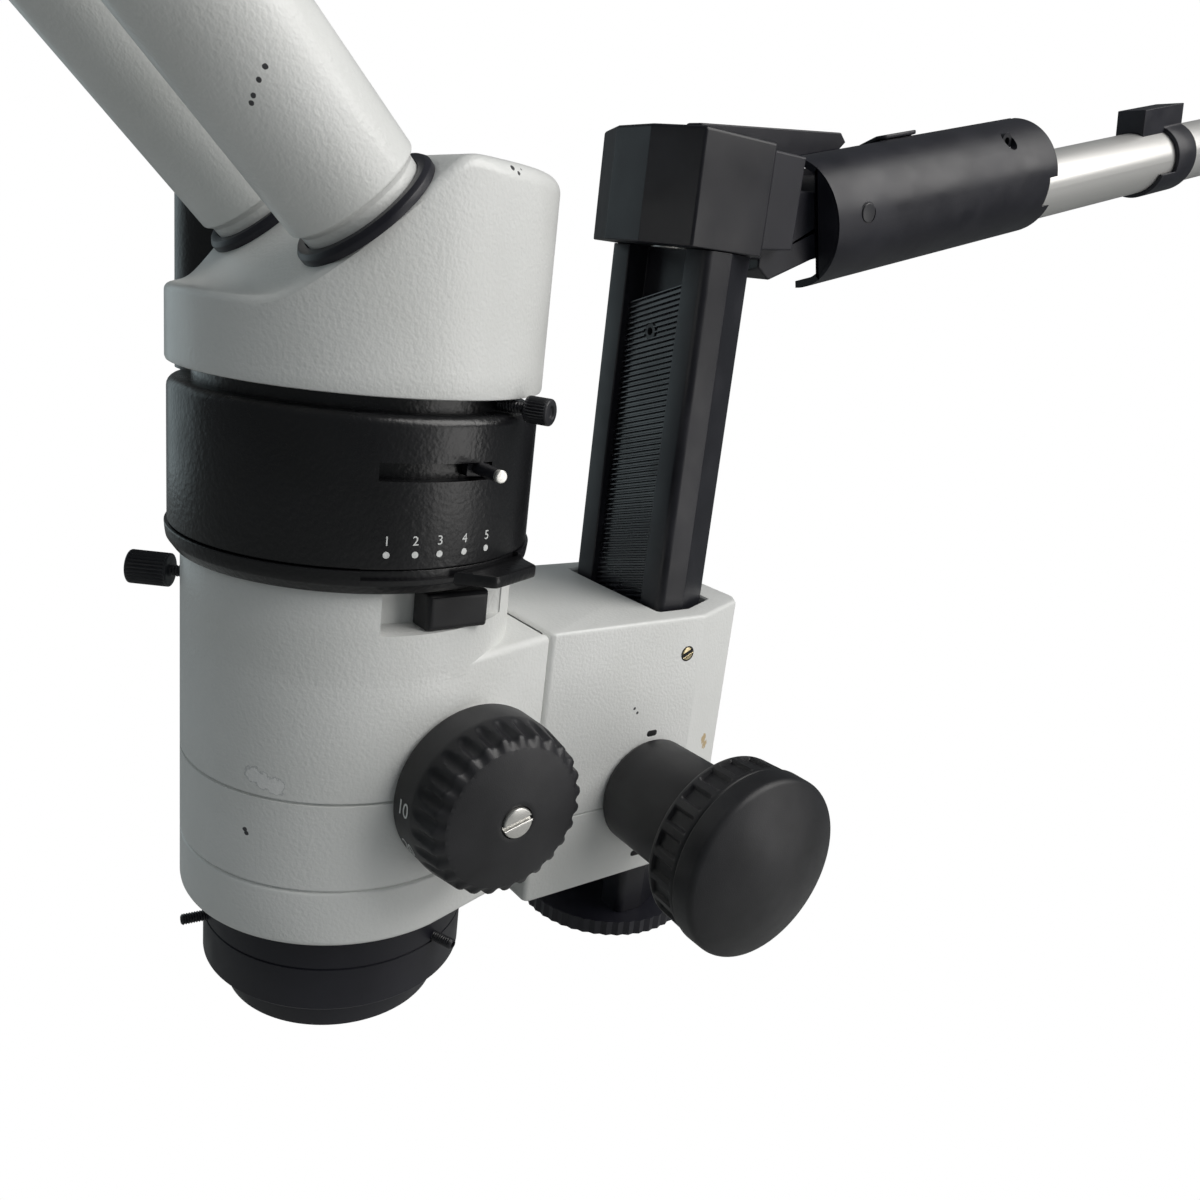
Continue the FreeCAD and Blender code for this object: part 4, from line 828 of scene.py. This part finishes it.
def round_print(shape, radius, angle, level, along=False):
    """Bend a flat print onto a cylinder about Z, reading round it or along it."""
    points, faces = shape
    across, up = (points[:, 1], points[:, 0]) if along else (points[:, 0], points[:, 1])
    turn = math.radians(angle) + across / radius * (-1.0 if along else 1.0)
    far = radius + PRINT_THICK + points[:, 2]
    return np.column_stack([far * np.cos(turn), far * np.sin(turn), level + up]), faces


def dot(radius, angle, level, size=0.8):
    """Small painted dot on a cylinder about Z."""
    swing = np.linspace(0, 2 * math.pi, 20, endpoint=False)
    disc = size * np.column_stack([np.cos(swing), np.sin(swing)])
    return round_print(stacked(disc, [(0, -0.04), (0, 0.06)]), radius, angle, level)


# The optical body and its collar
piece("tower", zoom_housing(), TOWER_WHITE, "carriage", ["zoom_housing"], 32)
piece("white_collar", collar(), "white_enamel", "carriage", ["objective_collar"], 32)
piece("focus_box", focus_housing(), BOX_WHITE, "carriage", ["focus_housing"], 32)
piece("binocular_head", head(), HEAD_WHITE, "carriage", ["head_housing"], 40)
NECK_RADIUS, NECK_LOW, NECK_HIGH = HEAD_RADIUS - 6, DRUM_TOP - 0.5, HEAD_BOTTOM + 0.1
neck_ring = turned([(BORE_RADIUS, NECK_LOW), (NECK_RADIUS, NECK_LOW), (NECK_RADIUS, NECK_HIGH),
                    (BORE_RADIUS, NECK_HIGH)], 128, loop=True)
piece("neck_ring", neck_ring, "black_enamel", "carriage")
piece("drum_shell", drum(), "black_enamel", "carriage", ["drum_housing"], 32)
piece("lever_ring", iris_ring(), "black_enamel", "iris_lever", ["iris_ring"], 32)
piece("lens_holder", objective_ring(), "black_anodised", "carriage", ["objective_ring"], 25)

# Grub screws round the lens holder
GRUB_START, GRUB_Z, GRUB_LENGTH, GRUB_RADIUS = 31.0, 24.0, 12.4, 1.55
grubs = [moved(set_screw(GRUB_LENGTH, GRUB_RADIUS), radial(angle, GRUB_START, GRUB_Z))
         for angle in (24.0, 144.0, 264.0)]
piece("lens_screws", joined(*grubs), "black_steel", "carriage", ["objective_screws"])

# The slide with its rod and bright tip, and the end of the tilt pin in the right shell
slide_rod = pin(ROD_RADIUS, 0, ROD_LENGTH, around=32)
slide_bars = [plate(oblong(17.6, 43.4, 8.0, 14.0), SLIDE_LOW, SLIDE_HIGH),
              plate(oblong(-25.0, 25.0, 5.0, 17.0), SLIDE_LOW, SLIDE_HIGH)]
piece("slide_bar", joined(moved(slide_rod, towards(ROD_X, SLIDE_Y, SLIDE_Z, RIGHT)), *slide_bars),
      "black_steel", "splitter", ["splitter_slide"])
slide_tip = pin(ROD_RADIUS, 0, 1.3, 0.3, 32)
piece("slide_tip", moved(slide_tip, towards(ROD_TIP_X, SLIDE_Y, SLIDE_Z, RIGHT)), "chrome", "splitter")
pin_end = pin(2.95, 0, 1.1, 0.35)
piece("tilt_pin_end", moved(pin_end, towards(SHELL_FACE_X, *TILT_PIN, RIGHT)), "black_steel", "boom")

# End wall of the right shell and a spring tab bent to the arm's own curve
TAB_RADIUS, TAB_TURN, TAB_Z = 20.2, -109.0, 40.0
WALL_RADIUS, WALL_HALF_TURN, WALL_LOW, WALL_HIGH = 19.9, 59.5, -13.6, -11.2
arm = (Matrix.Translation((0, *TILT_PIN)) @ Matrix.Rotation(math.radians(BOOM_LEAN - 90), 4, "X")
       @ Matrix.Translation((0, 2.0, 0)))
tab = plate(oblong(-6.5, 6.5, -9.5, 9.5, 3.0), 0.25, 1.6, 0.4)
piece("arm_tab", moved(round_print(tab, TAB_RADIUS, TAB_TURN, TAB_Z), arm), "black_anodised", "boom")
bow = np.radians(np.linspace(-WALL_HALF_TURN, WALL_HALF_TURN, 60))
wall = stacked(WALL_RADIUS * np.column_stack([np.cos(bow), np.sin(bow)]),
               rim(0.3, WALL_LOW, WALL_HIGH, 6, bottom=1.2))
piece("arm_end_wall", moved(wall, arm), "black_anodised", "boom")

# Numbers and dots on the drum
DOT_ANGLES = (-15.2, -6.8, 0.9, 9.5, 18.5)
DOT_Z, NUMBER_Z, NUMBER_TALL = 140.0, 143.2, 2.3
marks = [dot(DRUM_RADIUS, angle, DOT_Z) for angle in DOT_ANGLES]
marks += [round_print(digits(str(index + 1), NUMBER_TALL), DRUM_RADIUS, angle, NUMBER_Z)
          for index, angle in enumerate(DOT_ANGLES)]
piece("drum_scale", joined(*marks), PRINT, "carriage")

# Thumb screws: the turn round the optical axis, where the head starts, its height, and the screw's own sizes
for name, node, body, angle, start, level, length, radius, shank in (
        ("drum_thumb_screw", "drum_screw", "drum_clamp", 30.0, 48.5, 173.6, 6.4, 3.3, 13.0),
        ("side_thumb_screw", "side_screw", "side_clamp", 234.0, 48.0, 117.5, 11.0, 4.6, 9.0)):
    shape = moved(thumb_screw(length, radius, shank), radial(angle, start, level))
    piece(name, shape, "black_steel", body, [node])

# Zoom knobs with their screws, and numbers in tens just proud of the skirt
NUMBERS, FIRST_TURN, STEP_TURN, DIAL_TALL, DIAL_Z, SLOT_TURN = 8, 178.0, 29.0, 4.0, 5.5, 14.0
dial = zoom_knob()
seated = Matrix.Translation((0, 0, KNOB_SEAT)) @ Matrix.Rotation(math.radians(SLOT_TURN), 4, "Z")
screw = moved(slotted_head(4.1, 1.9, 0.55), seated)
numbers = joined(*[round_print(digits(str(10 * (step + 1)), DIAL_TALL), SKIRT_RADIUS + 0.07,
                               FIRST_TURN + STEP_TURN * step, DIAL_Z, along=True) for step in range(NUMBERS)])
on_right = towards(ZOOM_X, *ZOOM_AXIS, RIGHT)
on_left = towards(-ZOOM_X, *ZOOM_AXIS, LEFT)
for word, placed in (
        ("right", [moved(shape, on_right) for shape in (dial, screw, numbers)]),
        ("left", [mirror(moved(dial, on_right)), mirror(moved(screw, on_right)), moved(numbers, on_left)])):
    piece(f"zoom_dial_{word}", placed[0], "black_plastic", "zoom_knobs", [f"zoom_knob_{word}"], 38)
    piece(f"zoom_screw_{word}", placed[1], "chrome", "zoom_knobs", ["zoom_knob_screws"])
    piece(f"zoom_numbers_{word}", placed[2], PRINT, "zoom_knobs")

# Focus knobs
for word, flip in (("right", False), ("left", True)):
    for name, shape, reach, node in (("focus_stem", focus_hub(), FOCUS_HUB_X, "focus_hub"),
                                     ("focus_rim", focus_grip(), FOCUS_GRIP_X, "focus_grip"),
                                     ("focus_dome", focus_cap(), FOCUS_CAP_X, "focus_cap")):
        shape = moved(shape, towards(reach, *FOCUS_AXIS, RIGHT))
        piece(f"{name}_{word}", mirror(shape) if flip else shape, "black_plastic", "focus_knobs",
              [f"{node}_{word}"], 38)

# Barrels, flanges, eyepieces and eyecups
LEAN = Matrix.Rotation(math.radians(45), 4, "X")
for word, side in (("right", 1), ("left", -1)):
    foot = Matrix.Translation((side * BARREL_X, 0, BARREL_Z)) @ LEAN
    eye = foot @ Matrix.Translation((side * EYE_SHIFT, -EYE_SHIFT, 0))
    flange = turned(soften([(14.9, 19.4, 0), (17.8, 19.4, 0.1), (17.8, 20.9, 0.5), (16.9, 21.9, 0.4),
                            (14.9, 21.9, 0.2)], 4), 128, loop=True)
    piece(f"flange_{word}", moved(flange, foot), "black_anodised", "carriage", [f"barrel_flange_{word}"])
    piece(f"tube_{word}", moved(barrel(side), foot), BARREL_WHITE if side > 0 else "white_enamel",
          f"{word}_barrel", [f"barrel_{word}"])
    piece(f"eye_tube_{word}", moved(eyepiece(), eye), "black_anodised", f"{word}_barrel",
          [f"eyepiece_{word}"])
    piece(f"dioptre_{word}", moved(dioptre_ring(), eye), "black_plastic", f"{word}_eyecup",
          [f"dioptre_ring_{word}"])
    piece(f"cup_{word}", moved(eyecup(), eye), "rubber", f"{word}_eyecup", [f"eyecup_{word}"])

# Column and its cap
piece("column_bar", column(), COLUMN_BLACK, "column", ["column"], 25)
piece("top_cap", column_cap(), COLUMN_BLACK, "cap", ["column_cap"], 25)

# Slotted screws in the sides of the focus box, each ringed by a near-black disc just proud of the side, the
# painted shade of its seat
PROUD, SEAT_DEPTH, SEAT_RADIUS = 0.03, 0.5, 2.5
for word, way in (("right", 1), ("left", -1)):
    there = towards(way * BLOCK_HALF, *GUIDE_SCREW, (way, 0, 0), 25.0)
    piece(f"guide_screw_shade_ring_{word}", moved(pin(SEAT_RADIUS, -SEAT_DEPTH, PROUD), there), PAINTED_SHADE, "carriage")
    head_there = there @ Matrix.Translation((0, 0, -SEAT_DEPTH))
    piece(f"guide_screw_head_{word}", moved(slotted_head(2.1, 0.75, 0.5), head_there), "brass", "carriage",
          ["guide_screws"])

# Painted shade for the slots above and below each focus hub: near-black plates just proud of the side
for name, level in (("upper", FOCUS_AXIS[1] + HUB_SLOT_ABOVE), ("lower", FOCUS_AXIS[1] - HUB_SLOT_BELOW)):
    shade_plate = moved(plate(oblong(-2.0, 2.0, -1.0, 1.0, 0.9), -0.6, PROUD, 0.01),
                       towards(BLOCK_HALF, FOCUS_AXIS[0], level, RIGHT))
    piece(f"hub_slot_shade_{name}", joined(shade_plate, mirror(shade_plate)), PAINTED_SHADE, "carriage")

# Softened edges on the plain pieces carried over
for name in ("neck_block", "recess_block", "boom_collar"):
    weld = nodes[name].modifiers.new("weld", "WELD")
    weld.merge_threshold = 0.01 * MM
    soft = nodes[name].modifiers.new("soft_edges", "BEVEL")
    soft.width = 0.6 * MM
    soft.segments = 3
    soft.angle_limit = math.radians(40)


# Floor, lights and camera
def seen_white(tree, lit, kind, end):
    """Let camera rays see a plain white from a node of one kind, and every other ray the lit shader."""
    glow = add(tree, kind, {"Color": (1, 1, 1, 1), "Strength": 1.0})
    camera_ray = add(tree, "LightPath").outputs["Is Camera Ray"]
    blend = add(tree, "MixShader", {"Fac": camera_ray, 1: lit, 2: glow.outputs[0]})
    fill(tree, tree.nodes[end], {"Surface": blend.outputs["Shader"]})


FLOOR_HALF, FLOOR_Z = 6.0, -0.45
stand = bpy.data.meshes.new("floor")
stand.from_pydata([(x * FLOOR_HALF, y * FLOOR_HALF, 0) for x, y in ((-1, -1), (1, -1), (1, 1), (-1, 1))], [],
                  [(0, 1, 2, 3)])
floor = bpy.data.objects.new("floor", stand)
floor.location = (0, 0, FLOOR_Z)
bpy.context.collection.objects.link(floor)
paint, shader, tree = new_material("floor_paint")
fill(tree, shader, {"Base Color": (0.45, 0.45, 0.44, 1.0), "Roughness": 0.9})
seen_white(tree, shader.outputs["BSDF"], "Emission", "Material Output")
floor.data.materials.append(paint)

SKY_STRENGTH, SKY_IN_GLOSS = 0.25, 0.11
world = bpy.data.worlds.new("studio")
bpy.context.scene.world = world
world.use_nodes = True
sky = world.node_tree
glossy = add(sky, "LightPath").outputs["Is Glossy Ray"]
strength = stretch(sky, glossy, 0.0, 1.0, SKY_STRENGTH, SKY_IN_GLOSS)
back = fill(sky, sky.nodes["Background"], {"Color": (0.90, 0.97, 1, 1), "Strength": strength})
seen_white(sky, back.outputs["Background"], "Background", "World Output")

MIDDLE = Vector((0.0, 0.06, 0.12))


def lamp(name, spot, size, power, colour):
    """Soft square lamp that faces the middle of the object."""
    light = bpy.data.lights.new(name, "AREA")
    light.size = size
    light.energy = power
    light.color = colour
    thing = bpy.data.objects.new(name, light)
    thing.location = spot
    thing.rotation_euler = (MIDDLE - Vector(spot)).to_track_quat("-Z", "Y").to_euler()
    bpy.context.collection.objects.link(thing)


lamp("main_light", (0.72, 0.70, 1.10), size=1.1, power=15.5, colour=(1.0, 0.98, 0.955))
lamp("right_light", (1.1, 0.85, 0.05), size=0.7, power=3.0, colour=(1.0, 0.98, 0.96))
lamp("left_light", (-1.2, -0.55, 0.3), size=1.0, power=1.8, colour=(0.78, 0.95, 1.0))

# Camera fitted to the photograph: place, turn, tilt and roll in degrees, and the lens
CAMERA_PLACE = (0.2576, -0.1188, 0.2054)
CAMERA_YAW, CAMERA_DOWN, CAMERA_ROLL = 51.4, 16.7, 6.8
FOCAL_PIXELS, PHOTO_PIXELS, SENSOR_WIDTH = 1063.8, 1200, 36.0
optics = bpy.data.cameras.new("camera")
optics.sensor_fit = "HORIZONTAL"
optics.sensor_width = SENSOR_WIDTH
optics.lens = SENSOR_WIDTH * FOCAL_PIXELS / PHOTO_PIXELS
optics.clip_start = 0.01
camera = bpy.data.objects.new("camera", optics)
yaw, down = math.radians(CAMERA_YAW), math.radians(CAMERA_DOWN)
ahead = Vector((-math.sin(yaw) * math.cos(down), math.cos(yaw) * math.cos(down), -math.sin(down)))
right = Vector((math.cos(yaw), math.sin(yaw), 0))
up = right.cross(ahead)
level = Matrix((right, up, -ahead)).transposed()
camera.matrix_world = (Matrix.Translation(CAMERA_PLACE)
                       @ (level @ Matrix.Rotation(math.radians(CAMERA_ROLL), 3, "Z")).to_4x4())
bpy.context.collection.objects.link(camera)
bpy.context.scene.camera = camera
bpy.context.scene.view_settings.view_transform = "Standard"
